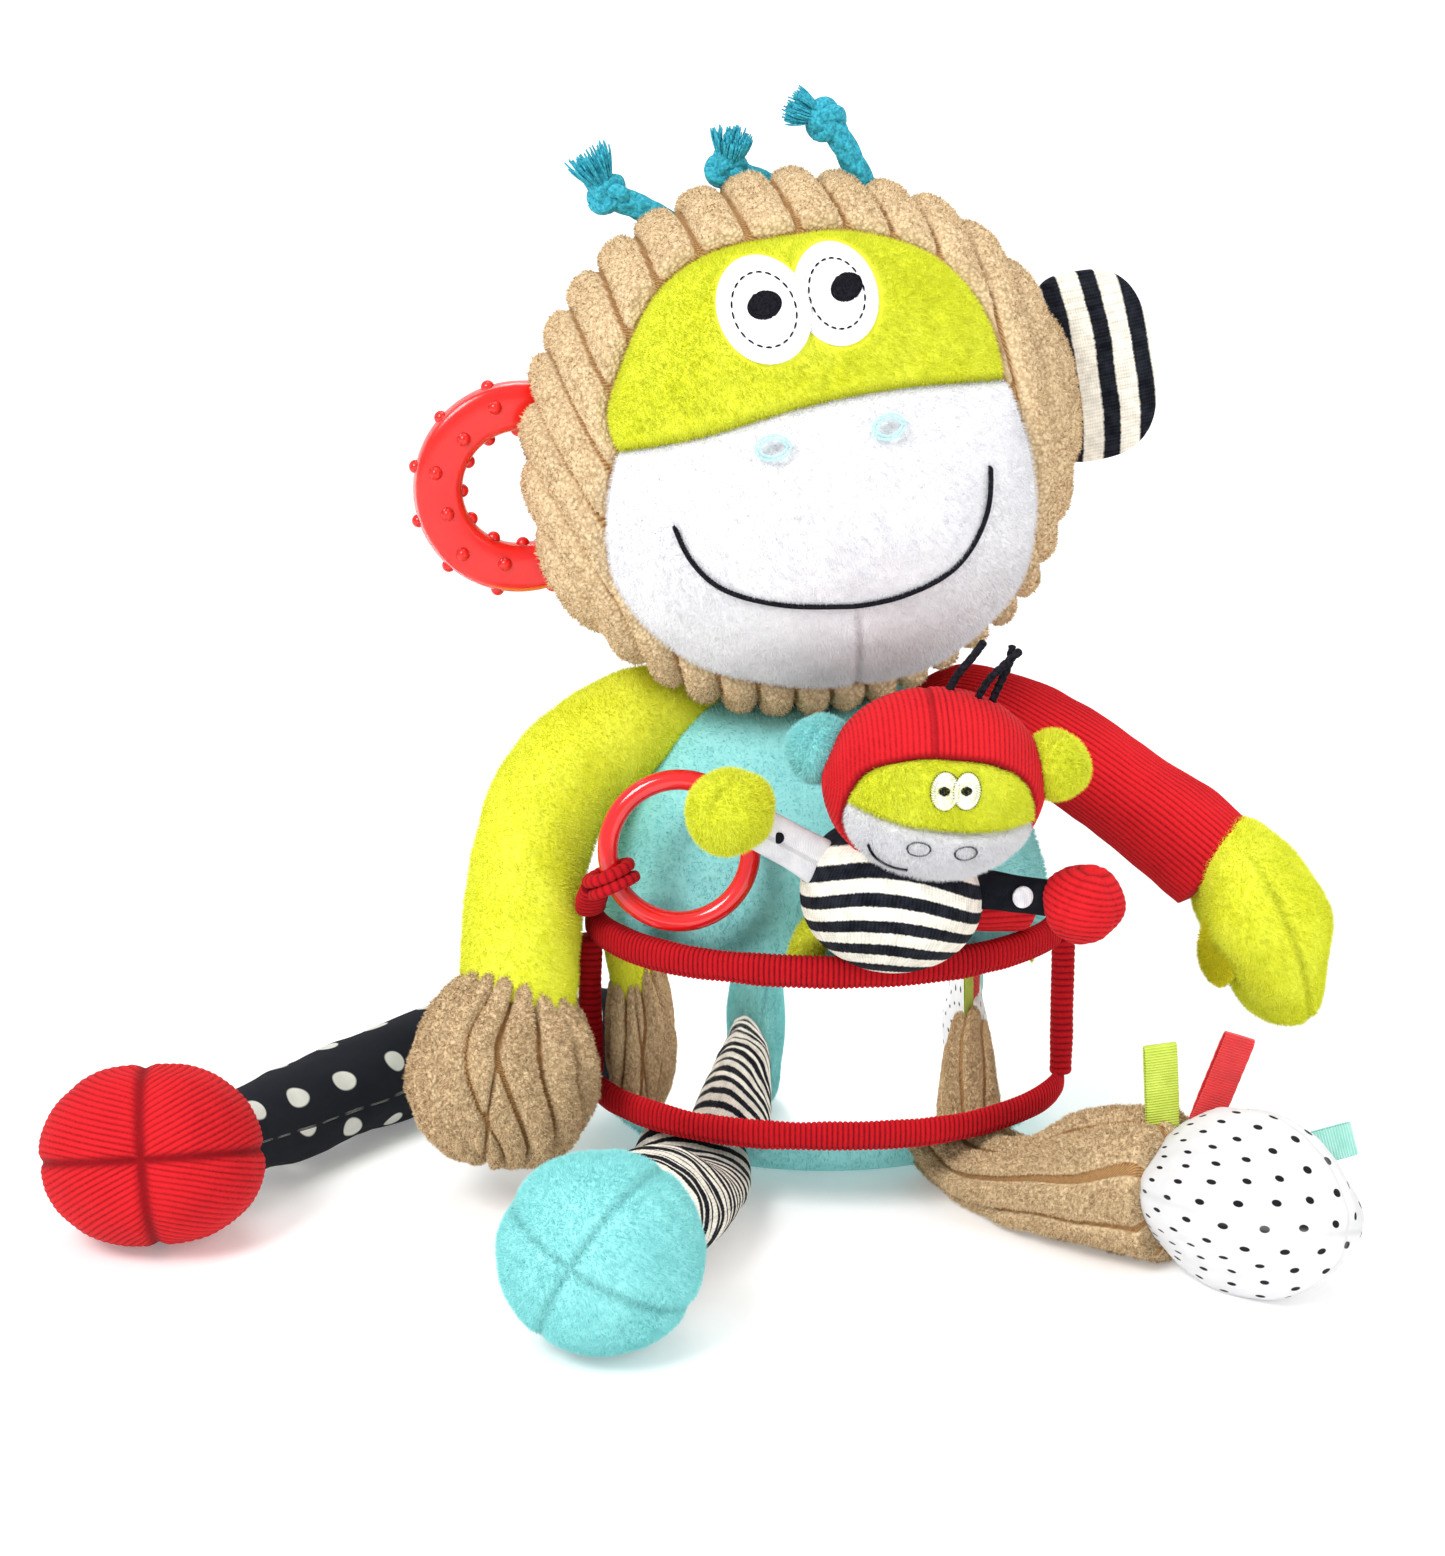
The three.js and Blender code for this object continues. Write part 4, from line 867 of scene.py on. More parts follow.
# the pinch that holds the teething ring
zz = P[..., 2] - 3
xin = -85 + np.sqrt(np.clip(36.5**2 - zz**2, 0, None))
slot = (1 - sstep(np.abs(P[..., 1] - 6), 4.5, 6.9)) * (P[..., 0] < 0) * (np.abs(zz) < 36.5)
P[..., 0] = P[..., 0] + np.maximum(xin - P[..., 0], 0) * slot
Pw = wld(P)
Nw = wld(N, o=0)
part = Part("head_cord_back", M["tan"])
Pe = np.concatenate([(Pw[0] - Nw[0] * 4)[None], Pw])
he = np.concatenate([hh[:1], hh])
uvx, uvy = phase * 12.6, psi * 70
part.grid(Pe, closed=True, h=he, uv=(np.concatenate([uvx[:1], uvx]), np.concatenate([uvy[:1], uvy])), caps="end", flip=False)
Ng = normals_of(Pw, True)
Ng *= np.sign((Ng * Nw).sum(-1))[..., None]
part.pile(Pw, Ng, 78000, 1.5, 0.55, closed=True, lean=1.1, seed=33, comb=(0, 0, -0.1), h=hh, uv=(uvx, uvy), keep=(hh > 0.35) * (slot < 0.2))
part.done("head", ["head_back_panel", "head_stuffing"], "tan_chunky_cord", 0.85)

# eyes: a cloth oval, a satin border, a line of running stitches and a filled pupil
def oval(cx, cz, rx, rz, t):
    return cx + rx * np.cos(t), cz + rz * np.sin(t)


for side, (ex, ez, rx, rz), lift, pup in (("left", EYES[1], 1.9, (14.4, 53.3, 4.8, 3.4)), ("right", EYES[0], 2.9, (-9.5, 52.8, 4.9, 3.4))):
    part = Part("eye_%s_cloth" % side, M["whitethread"])
    th = np.linspace(0, 2 * math.pi, 120, endpoint=False)
    rows = []
    for q, hgt in ((1.0, -1.6), (1.0, 0.1), (0.985, 0.35), (0.95, 0.5), (0.6, 0.65), (0.3, 0.7), (0.02, 0.7)):
        x, z = oval(ex, ez, rx * q, rz * q, th)
        Pp, _ = on_face(x, z, lift + hgt)
        rows.append(Pp)
    part.grid(np.array(rows), closed=True, flip=False)
    n = 150
    t = np.linspace(0, 2 * math.pi, n, endpoint=False)
    xa, za = oval(ex, ez, rx * 1.02, rz * 1.02, t + 0.02)
    xb, zb = oval(ex, ez, rx - 3.0, rz - 3.0, t)
    A_, Nn = on_face(xa, za, lift + 0.15)
    B_, _ = on_face(xb, zb, lift + 0.65)
    satin(part, A_, B_, 0.46, Nn)
    part.done("head", ["eye_patch_%s" % side], "white_plush")
    part = Part("eye_%s_stitches" % side, M["inkthread"])
    n = 22
    t = np.linspace(0, 2 * math.pi, n, endpoint=False)
    w = 2 * math.pi / n * 0.33
    xa, za = oval(ex, ez, rx - 4.0, rz - 4.0, t - w)
    xb, zb = oval(ex, ez, rx - 4.0, rz - 4.0, t + w)
    A_, Nn = on_face(xa, za, lift + 0.72)
    B_, _ = on_face(xb, zb, lift + 0.72)
    satin(part, A_, B_, 0.30, Nn)
    px, pz, prx, prz = pup
    for layer in range(2):
        n = 30
        zc = np.linspace(-prz * 0.97, prz * 0.97, n)
        hw = prx * np.sqrt(1 - (zc / prz) ** 2)
        if layer:
            zc, hw = zc[3:-3], hw[3:-3] * 0.75
        tl = 0.10 if layer == 0 else -0.12
        A_, Nn = on_face(px - hw, pz + zc - hw * tl, lift + 0.72 + 0.28 * layer)
        B_, _ = on_face(px + hw, pz + zc + hw * tl, lift + 0.72 + 0.28 * layer)
        satin(part, A_, B_, 0.26, Nn, seg=7)
    part.done("head", [], "teal_cord")

# nostrils and mouth; the line of the dart is a groove pressed into the muzzle sheet by muzzle_swell
def sewn_line(part, pts, r, step, lift, twist=1.0):
    c, s = interp_path(np.array([[x, 0, z] for x, z in pts]), 400)
    n = max(6, int(s[-1] / step))
    u = np.linspace(0, s[-1], n + 1)
    x = np.interp(u, s, c[:, 0])
    z = np.interp(u, s, c[:, 2])
    dx, dz = np.gradient(x), np.gradient(z)
    ln = np.hypot(dx, dz)
    ox, oz = -dz / ln * 0.35 * twist, dx / ln * 0.35 * twist
    xa, za, xb, zb = x[:-1] - ox[:-1], z[:-1] - oz[:-1], x[1:] + ox[1:], z[1:] + oz[1:]
    A_, Nn = on_face(xa - dx[:-1] * 0.6, za - dz[:-1] * 0.6, lift(xa, za))
    B_, _ = on_face(xb + dx[1:] * 0.6, zb + dz[1:] * 0.6, lift(xb, zb))
    satin(part, A_, B_, r, Nn, seg=5)


part = Part("mouth_stitching", M["inkthread"])
MOUTH = [(-45.6, -2.2), (-42.6, -12.2), (-36.2, -20.6), (-20.6, -28.6), (-3.9, -33.0), (0.8, -33.8), (14.0, -33.6), (29.8, -28.6), (40.6, -16.6), (44.4, -4.0)]
sewn_line(part, MOUTH, 0.70, 0.9, lambda x, z: muz_lift(x, z) + 0.75)
part.done("head", [], "teal_cord")
part = Part("nostril_stitching", M["bluethread"])
for cx, cz in ((-15.9, 16.1), (17.1, 15.2)):
    t = np.linspace(0, 2 * math.pi, 42)
    for rx, rz in ((4.9, 3.4), (3.8, 2.4)):
        sewn_line(part, [(cx + rx * math.cos(a), cz + rz * math.sin(a)) for a in t[::3]], 0.36, 1.2, lambda x, z: muz_lift(x, z) + 0.95, 0.3)
part.done("head", [], "teal_cord")

# loop of the back cloth that holds the teething ring
TE = np.array([-85.0, 6.0, 3.0])
part = Part("ear_ring_loop", M["tan"])
t = np.linspace(0, 2 * math.pi, 60, endpoint=False)
core = np.stack([-60.0 + 12.0 * np.cos(t), 6 + 9.2 * np.sin(t), 3 + 0 * t], -1)
sec = np.linspace(0, 2 * math.pi, 20, endpoint=False)
outw = np.stack([np.cos(t) / 12.0, np.sin(t) / 9.2, 0 * t], -1)
outw /= np.linalg.norm(outw, axis=1)[:, None]
G = core[:, None] + outw[:, None] * (0.9 * np.cos(sec))[None, :, None] + np.array([0, 0, 1.0]) * (4.6 * np.sin(sec))[None, :, None]
G = np.concatenate([G, G[:1]])
part.grid(wld(G), closed=True, caps=False, h=np.full(G.shape[:2], 0.5), flip=True)
part.done("head", ["ear_ring_tab"], "tan_chunky_cord")

# teething ring
nv, nu = 300, 60
a = np.linspace(0, 2 * math.pi, nv + 1)[:, None]
b = np.linspace(0, 2 * math.pi, nu, endpoint=False)[None]
sgn = lambda x, p: np.sign(x) * np.abs(x) ** p
rr = 25.0 + 7.5 * sgn(np.cos(b), 0.72)
yy = 4.0 * sgn(np.sin(b), 0.62) + 0 * a
rr = rr + 0 * a
P = np.stack([rr * np.cos(a), yy, rr * np.sin(a)], -1)
NN = np.stack([np.cos(b) * np.cos(a) / 1.0, np.sin(b) * 1.4 + 0 * a, np.cos(b) * np.sin(a)], -1)
NN /= np.linalg.norm(NN, axis=2)[..., None]
part = Part("teether_silicone", M["teether"])
part.grid(wld(P + TE), closed=True, caps=False, flip=True)
cnt = 12
for i in range(cnt):
    aa = 2 * math.pi * i / cnt + 0.12
    bb = aa + math.pi / cnt
    m = 25 + (1.5 if i % 2 else -1.5)
    for c in ([32.3 * math.cos(aa), 0, 32.3 * math.sin(aa)], [17.7 * math.cos(bb), 0, 17.7 * math.sin(bb)], [m * math.cos(aa), 3.9, m * math.sin(aa)], [m * math.cos(aa), -3.9, m * math.sin(aa)]):
        G, _, _, _ = pod_grid(c, (0, 0, 1), 2.1, 2.1, 2.1, 14, 20, up=(0, 1, 0))
        part.grid(wld(G + TE), closed=True)
part.done("teething_ring", ["teething_ring"], "red_silicone")

# crackling ear
nv, nu = 121, 180
t = np.linspace(0, 2 * math.pi, nu, endpoint=False)
ox = 22.0 * sgn(np.cos(t), 0.68)
ox = np.where(ox > 0, ox * 1.0, ox * 0.7)
oz = 29.5 * sgn(np.sin(t), 0.66)
v = np.linspace(0.02, 1.98, nv)
q = np.where(v < 1, v, 2 - v)
q = np.sin(q * math.pi / 2) ** 0.9
X = 91.0 + q[:, None] * ox[None]
Z = 4.0 + q[:, None] * oz[None]
bulge = 5.0 * (1 - ((Z - 4) / 34) ** 2)
thick = (1.0 + 2.6 * np.sqrt(np.clip(1 - q**2, 0, 1)))[:, None] * np.where(v < 1, -1, 1)[:, None]
thick = np.where(np.abs(thick) < 1.02, thick * 0.0, thick)
ribz = np.abs(np.sin(math.pi * (Z - 4 + 0.6 * vnoise(np.stack([X, Z, 0 * Z], -1), 15, 9)) / 3.0)) ** 0.6
Y = 5.0 + thick * (0.88 + 0.22 * ribz) + 0.7 * vnoise(np.stack([X, 0 * X, Z], -1), 12, 41)
Lp = np.stack([X, Y, Z], -1)
part = Part("crackle_ear_knit", M["ear"])
part.grid(wld(Lp), closed=True, uv=(X - 80.0 - bulge * 0.55 + 8.6, Z), h=ribz, flip=True)
part.done("crackle_ear", ["crackle_ear_cover"], "striped_knit")

# hair: braided cords with a knot and a frayed end
def braid(s, phi, P, r, k=5, pitch=9.0, amp=0.55):
    f1 = np.cos(k * phi / 2 * 2 + 2 * math.pi * s / pitch)
    f2 = np.cos(k * phi / 2 * 2 - 2 * math.pi * s / pitch)
    return amp * np.maximum(f1, f2)


def hair(name, pts, knot, end, body, node, r, mat, seed, tuft=0.0, kn=6.4):
    st = [[*p, r - 0.45, r - 0.45] for p in pts]
    P, s, phi, circ = tube_grid(st, 130, 40, disp=braid, round_b=2.0)
    part = Part(name, mat)
    part.grid(P, closed=True, flip=False)
    c, ss = interp_path(np.array([[*p] for p in pts]), 24)
    o = part.done(body, [node] if node else [], "teal_cord")
    k = Part(name + "_knot", mat)
    t = np.linspace(0, 2 * math.pi, 181)
    kp = np.stack([(2 + np.cos(3 * t)) * np.cos(2 * t), (2 + np.cos(3 * t)) * np.sin(2 * t), 1.25 * np.sin(3 * t)], 1) * kn / 4.15
    d = np.array(end, float) - np.array(knot, float)
    d /= np.linalg.norm(d)
    side = np.cross(d, (0, 1, 0.2))
    side /= np.linalg.norm(side)
    up = np.cross(side, d)
    kp = kp[:, :1] * side + kp[:, 1:2] * d * 0.85 + kp[:, 2:] * up + np.array(knot)
    rr_ = kn / 4.15 * 1.45
    G, _, _, _ = tube_grid([[*p, rr_, rr_] for p in kp], 260, 24, disp=lambda s, ph, P, r_: braid(s, ph, P, r_, 4, 6.0, 0.35))
    k.grid(G, closed=True)
    # frayed end
    rg = np.random.default_rng(seed)
    base = np.array(knot, float) + d * kn * 0.55
    n = 150
    ang = rg.random(n) * 2 * math.pi
    rad = np.sqrt(rg.random(n))
    A_ = base + (side[None] * np.cos(ang)[:, None] + up[None] * np.sin(ang)[:, None]) * (rad * r * 0.75)[:, None]
    ln = np.linalg.norm(np.array(end, float) - base) * (0.75 + 0.35 * rg.random(n))
    dirs = d[None] + (side[None] * np.cos(ang)[:, None] + up[None] * np.sin(ang)[:, None]) * (0.42 * rad)[:, None] + rg.normal(size=(n, 3)) * 0.06
    B_ = A_ + dirs * ln[:, None]
    nl = side[None] * np.cos(ang)[:, None] + up[None] * np.sin(ang)[:, None]
    satin(k, A_, B_, 0.42, nl, seg=6, sides=4)
    ko = k.done(body, [], "teal_cord")
    return o


hair("hair_cord_r", [(-27, 8, 268), (-34.5, 5, 277.5), (-42, 2, 287), (-50, 1, 293), (-58, 0, 297.5), (-66, -1, 301), (-71, -2, 308)], (-66, -1.5, 301), (-72.5, -3, 312.5), "head", "hair_cord_right", 3.9, M["teal"], 51)
hair("hair_cord_m", [(2, 6, 276), (-6, 3, 289), (-13, 2, 298), (-20, 1, 304), (-26, 0, 306.5), (-30.5, -1, 308), (-30.5, -3, 315)], (-30.5, -1.5, 308), (-28.5, -4, 319.5), "head", "hair_cord_middle", 3.9, M["teal"], 52)
hair("hair_cord_l", [(18, 4, 272), (15.5, 3, 284), (13, 2, 295), (9.5, 1, 305), (4.5, 0, 315), (-1, -1, 323.5), (-7, -2, 325.5)], (-1.5, -1.5, 323.5), (-11.5, -3, 328.5), "head", "hair_cord_left", 3.9, M["teal"], 53)

# ------------------------------------------------------------------ torso
prof = np.array([(0.5, 0.4), (30, 0.2), (46, 0.3), (60, 4.5), (70.5, 14), (76, 28), (77, 46), (74, 68), (67, 96), (56, 128), (44, 142), (24, 147.5), (0.5, 149)])
c, s = interp_path(np.stack([prof[:, 0], 0 * prof[:, 0], prof[:, 1]], 1), 190)
nu = 260
ph = np.linspace(0, 2 * math.pi, nu, endpoint=False)[None]
R_, Z_ = c[:, :1], c[:, 2:]
P = np.stack([R_ * np.cos(ph), 0.74 * R_ * np.sin(ph), Z_ + 0 * ph], -1)
N = normals_of(P, True)
N *= np.sign((N[..., :2] * P[..., :2]).sum(-1) + 1e-6 * N[..., 2])[..., None]
fade = sstep(Z_, 2, 18)
bs = np.exp(-(((ph - math.pi / 2) * R_ / 1.8) ** 2)) * fade
sd = (np.exp(-(((ph - 0.25) * R_ / 1.8) ** 2)) + np.exp(-(((ph - math.pi + 0.25) * R_ / 1.8) ** 2))) * fade
# seam grooves; the plush material also paints them darker, as shade
seam = np.clip(bs + 0.9 * sd, 0, 1)
d = (1.4 * vnoise(P, 28, 61) + 0.6 * vnoise(P, 11, 62) + 0.25 * vnoise(P, 4.5, 63)) * (0.15 + 0.85 * fade) - 1.3 * seam
d = d - 1.0 * np.exp(-(((Z_ - 40) / 30) ** 2)) * (np.sin(ph) < -0.2)
P = P + N * d[..., None]
P[..., 2] = np.maximum(P[..., 2], 0.15)
part = Part("torso_plush", M["aqua"])
part.grid(P, closed=True, seam=seam, flip=False)
Ng = normals_of(P, True)
Ng *= np.sign((Ng * N).sum(-1))[..., None]
low_keep = np.broadcast_to(sstep(Z_, 3, 8), P.shape[:2])
part.pile(P, Ng, 95000, 1.5, 0.26, lean=0.6, seed=64, comb=(0, 0, -0.4), seam=seam, keep=low_keep)
part.done("torso", ["torso_shell", "torso_stuffing", "neck_plug"], "aqua_plush", 0.8)

# ------------------------------------------------------------------ mirror pocket
def arc(tt, off=0.0):
    th = math.pi * (0.5 + 0.5 * tt * 0.94)
    x, y = -np.cos(th) * 72.6, -23 - np.sin(th) * 55
    nx, ny = -np.cos(th) / 72.6, -np.sin(th) / 55
    l = np.hypot(nx, ny)
    return x + off * nx / l, y + off * ny / l


def band(name, node, z0, z1, seed):
    tt = np.linspace(-0.985, 0.985, 60)
    x, y = arc(tt, -0.5)
    sag = 0.5 * np.sin(tt * 9 + seed)
    st = np.stack([x, y, np.full_like(x, (z0 + z1) / 2) + sag * 0.4, np.full_like(x, 3.0), np.full_like(x, (z1 - z0) / 2 - 0.1)], 1)
    nv = 1500

    def dp(s_, phi, P_, r_):
        rib = np.abs(np.sin(math.pi * s_ / 1.55)) ** 0.7
        crease = np.exp(-(((np.sin(phi) + 0.62) / 0.10) ** 2)) * (np.cos(phi) > -2)
        return 0.55 * (rib - 0.6) - 0.55 * crease + 0.35 * vnoise(P_, 10, seed)

    P_, s_, phi, circ = tube_grid(st, nv, 44, disp=dp, power=2.8, round_a=2, round_b=2)
    rib = np.abs(np.sin(math.pi * s_ / 1.55)) ** 0.7
    crease = np.exp(-(((np.sin(phi) + 0.62) / 0.10) ** 2))
    part = Part(name, M["band"])
    # the crease goes in as seam, so the corduroy paints it darker: painted shade in the fold
    part.grid(P_, closed=True, h=np.broadcast_to(rib[:, None], P_.shape[:2]), seam=np.broadcast_to(crease[None] * 0.8, P_.shape[:2]))
    part.done("torso", [node], "red_corduroy")


band("pocket_trim_top", "pocket_binding_top", 76.5, 86.0, 3)
band("pocket_trim_bottom", "pocket_binding_bottom", 24.5, 34.0, 8)
for side, tc in (("right", -0.948), ("left", 0.948)):
    x, y = arc(np.full(30, tc * 0.985), 0.9)
    zz_ = np.linspace(33.0, 77.5, 30)
    st = np.stack([x, y, zz_, np.full_like(x, 4.2), np.full_like(x, 3.6)], 1)

    def dp(s_, phi, P_, r_):
        return 0.5 * (np.abs(np.sin(math.pi * s_ / 2.1)) ** 0.7 - 0.6) + 0.3 * vnoise(P_, 9, 77)

    P_, s_, phi, circ = tube_grid(st, 240, 44, disp=dp, up=(0, 1, 0), power=2.8)
    rib = np.abs(np.sin(math.pi * s_ / 2.1)) ** 0.7
    part = Part("pocket_trim_" + side, M["band"])
    part.grid(P_, closed=True, h=np.broadcast_to(rib[:, None], P_.shape[:2]))
    part.done("torso", ["pocket_binding_" + side], "red_corduroy")

tt = np.linspace(-0.93, 0.93, 320)
zr = np.linspace(27, 83.5, 90)
T_, Zm = np.meshgrid(tt, zr)
wave = 0.35 * vnoise(np.stack([T_ * 72, 0 * T_, Zm], -1), 30, 71) + 0.08 * vnoise(np.stack([T_ * 72, 0 * T_, Zm], -1), 12, 72)
xf, yf = arc(T_, 0.7 + wave * np.sin((Zm - 27) / 56.5 * math.pi))
xb_, yb_ = arc(T_, 0.1 + 0 * T_)
front = np.stack([xf, yf, Zm], -1)
backp = np.stack([xb_, yb_, Zm], -1)
part = Part("mirror_film", M["mirror"])
loopg = np.concatenate([front, backp[::-1]], 0)
loopg = np.concatenate([loopg, loopg[:1]], 0)
part.grid(loopg, closed=False, flip=False)
part.done("torso", ["mirror_sheet"], "mirror_film")

# ------------------------------------------------------------------ pull ring and its strap
PC = np.array([-45.0, -56.5, 112.5])
RP = rot("X", -11)
nv, nu = 160, 32
a = np.linspace(0, 2 * math.pi, nv + 1)[:, None]
b = np.linspace(0, 2 * math.pi, nu, endpoint=False)[None]
rr = 21.4 + 3.1 * np.cos(b)
P = np.stack([rr * np.cos(a), 3.1 * np.sin(b) + 0 * a, rr * np.sin(a)], -1)
part = Part("pull_ring_gloss", M["ring"])
part.grid(P @ RP.T + PC, closed=True, caps=False, flip=True)
part.done("pull_ring", ["pull_ring"], "glossy_red_plastic")

ang = math.radians(203)
sA = np.array([21.4 * math.cos(ang), 0, 21.4 * math.sin(ang)]) @ RP.T + PC
sT = np.array([-math.sin(ang), 0, math.cos(ang)]) @ RP.T
sO = np.array([math.cos(ang), 0, math.sin(ang)]) @ RP.T
sX = np.cross(sT, sO)
lc = sA + sO * 0.8
part = Part("pull_ring_strap_cord", M["band"])
for off, ph0 in ((-2.1, 0.0), (2.1, 0.4)):
    t = np.linspace(0, 2 * math.pi, 41)
    core = lc + np.cos(t)[:, None] * sO * 6.3 + np.sin(t)[:, None] * sX * 6.3 + sT * off * (1 + 0.15 * np.sin(t + ph0))[:, None]
    G, s_, phi, _ = tube_grid(np.concatenate([core, np.full((41, 1), 2.1), np.full((41, 1), 1.7)], 1), 130, 24, up=sT, power=2.6,
                              disp=lambda s, ph, P, r: 0.3 * (np.abs(np.sin(math.pi * s / 2.0)) ** 0.7 - 0.5))
    rib = np.abs(np.sin(math.pi * s_ / 2.0)) ** 0.7
    part.grid(G, closed=True, h=np.broadcast_to(rib[:, None], G.shape[:2]))
root = lc + sO * 5.6
st = [[*root, 3.9, 2.6], [*((root + np.array([-72.5, -50, 92.5])) / 2), 4.3, 2.6], [-72.5, -50, 92.5, 3.9, 2.3], [-71.5, -39.5, 88.9, 3.8, 2.0], [-71.2, -30.5, 88.8, 3.8, 2.0]]
G, s_, phi, _ = tube_grid(st, 150, 30, power=2.6, disp=lambda s, ph, P, r: 0.35 * (np.abs(np.sin(math.pi * s / 2.0)) ** 0.7 - 0.5) + 0.3 * vnoise(P, 6, 5))
rib = np.abs(np.sin(math.pi * s_ / 2.0)) ** 0.7
part.grid(G, closed=True, h=np.broadcast_to(rib[:, None], G.shape[:2]))
part.done("torso", ["pull_ring_strap"], "red_corduroy")

# ------------------------------------------------------------------ limbs
ARM_R = [(-30, 0, 138, 6, 6), (-40, -2, 141, 11.5, 11.5), (-57, -6, 138, 16.5, 16.5), (-81, -18, 123, 17.8, 17.8), (-91, -33, 100, 17.5, 17.5), (-94.5, -52, 66, 17.2, 17.2), (-96.5, -56, 58, 16.0, 16.0)]
ARM_L = [(28, 2, 138.5, 6, 6), (41, -1, 144.5, 9.5, 9.5), (55, -7, 141.6, 12.5, 12.5), (76, -12, 128.8, 15, 15), (97, -19, 115.2, 16, 16), (119.5, -26, 98, 16, 16), (123, -28, 94, 15.5, 15.5)]
LEG_R = [(-41, -34, 15, 13, 13), (-42, -40, 14.6, 14, 13.5), (-43, -58, 10.4, 19.5, 10.0), (-46, -80, 11.6, 21, 11.4), (-52, -106, 18.6, 21.5, 17.6), (-61, -142, 26, 16.6, 16.6)]
LEG_L = [(38.5, -34, 16, 13, 13), (40, -38, 15.6, 14, 14), (48, -55, 11, 15, 10.4), (61.5, -76, 13.4, 16.2, 12.9), (80, -90, 19.6, 21, 19.2), (98, -102, 23.4, 21.5, 22), (103, -106, 24, 20, 21)]
TAIL = [(2, 52, 19, 14, 14), (0, 58, 19, 15, 15), (-24, 76, 16.4, 15.5, 15.5), (-74, 70, 16.6, 16, 16), (-112, 36, 17, 16.5, 16.5), (-142, 3, 17, 16, 16), (-171, -38, 19, 14, 14), (-190, -71.5, 24, 12, 12)]


def folds(P, s, seed, amp=1.3, size=20, small=0.35):
    return amp * vnoise(P * np.array([1, 1, 1.0]), size, seed) + small * vnoise(P, 7, seed + 1)


def sleeve(name, st, mat, nodes, body, slot, nv=120, nu=110, disp=None, wales=0, pitch=0, pile=0, plen=1.4, pwid=0.24, seed=1, comb=(0, 0, -0.4), uvf=None, hfun=None, ra=3, rb=5, terry_amp=0.0, seamphi=None, floor=None):
    base = {}

    def dp(s, phi, P, r):
        L_ = s[-1, 0]
        d = folds(P, s, seed) if disp is None else disp(s, phi, P, r)
        if seamphi is not None:
            g = np.exp(-(((np.angle(np.exp(1j * (phi - seamphi)))) * r / 1.3) ** 2))
            # the seam mask also darkens the colour in the materials: painted shade in the seam groove
            base["seam"] = g
            d = d - 1.0 * g
        if wales:
            h_ = wale(phi * wales / (2 * math.pi) + 0.25 * vnoise(P, 22, seed + 3) + 0.5, 0.86)
            base["h"] = h_
            d = d - 1.5 + 2.6 * h_ + terry(P, terry_amp, seed + 4) * sstep(h_, 0.15, 0.6)
        if pitch:
            k = round(2 * math.pi * 15 / pitch)
            h_ = np.abs(np.sin(k * phi / 2 + 0.25 * vnoise(P, 16, seed + 3))) ** 0.7
            base["h"] = h_
            d = d + 0.4 * (h_ - 0.6)
        if hfun is not None:
            h_, dd = hfun(s, phi, P)
            base["h"] = h_
            d = d + dd
        return d

    P, s, phi, circ = tube_grid(st, nv, nu, disp=dp, round_a=ra, round_b=rb)
    if floor is not None:
        P[..., 2] = np.maximum(P[..., 2], floor + 0 * P[..., 2])
    part = Part(name, mat)
    S = np.broadcast_to(s[:, None], P.shape[:2])
    C_ = np.broadcast_to(circ, P.shape[:2])
    uv = (S, C_) if uvf is None else uvf(S, C_)
    hh = base.get("h")
    sm = base.get("seam")
    part.grid(P, closed=True, uv=uv, h=hh, seam=sm)
    if pile:
        Ng = normals_of(P, True)
        cc = P.mean(1, keepdims=True)
        Ng *= np.sign((Ng * (P - cc)).sum(-1))[..., None]
        part.pile(P, Ng, pile, plen, pwid, lean=0.6 if not wales else 0.9, seed=seed, comb=comb, h=hh if wales else None, uv=uv, keep=None if not wales else (hh > 0.35) * 1.0)
    return part.done(body, nodes, slot, 0.8)


sleeve("arm_plush_right", ARM_R, M["lime"], ["right_sleeve", "right_arm_stuffing"], "right_arm", "lime_plush", 150, 130, pile=70000, seed=81, seamphi=2.2)
sleeve("arm_corduroy_left", ARM_L, M["red"], ["left_sleeve", "left_arm_stuffing"], "left_arm", "red_corduroy", 150, 500, pitch=1.7, seed=83, seamphi=-1.9)


def leg_uv(S, C_):
    per = 4.5 + 4.3 * (1 - sstep(S, 10, 62))
    s1 = S[:, 0]
    u = np.concatenate([[0], np.cumsum(np.diff(s1) * 4.0 / per[1:, 0])])
    return np.broadcast_to(u[:, None], S.shape), C_


def leg_disp(s, phi, P, r):
    gather = np.sin(2 * math.pi * s / 6.8 + 1.5 * vnoise(P, 14, 91)) * sstep(s, 55, 90) * 0.35
    return 1.3 * vnoise(P, 16, 90) + gather + 0.3 * vnoise(P, 5, 92)


sleeve("leg_jersey_right", LEG_R, M["jersey"], ["right_leg_sleeve", "right_leg_stuffing"], "right_leg", "striped_knit", 300, 150, disp=leg_disp, seed=90, uvf=leg_uv, floor=0.2)
sleeve("leg_cord_left", LEG_L, M["tan"], ["left_leg_sleeve", "left_leg_stuffing"], "left_leg", "tan_chunky_cord", 190, 220, wales=8, terry_amp=0.7, pile=60000, plen=1.4, pwid=0.5, seed=93, floor=0.2)


def tail_disp(s, phi, P, r):
    return 1.3 * vnoise(P, 20, 96) + 0.8 * np.sin(phi * 2 + s / 14.0) * vnoise(P, 30, 97) + 0.3 * vnoise(P, 6, 98)


sleeve("tail_spotted", TAIL, M["night"], ["tail_sleeve", "tail_stuffing"], "tail", "black_spotted_cloth", 260, 110, disp=tail_disp, seed=95, uvf=lambda S, C_: (S, C_ * (95.0 / 97.5)), seamphi=2.6, floor=0.2)


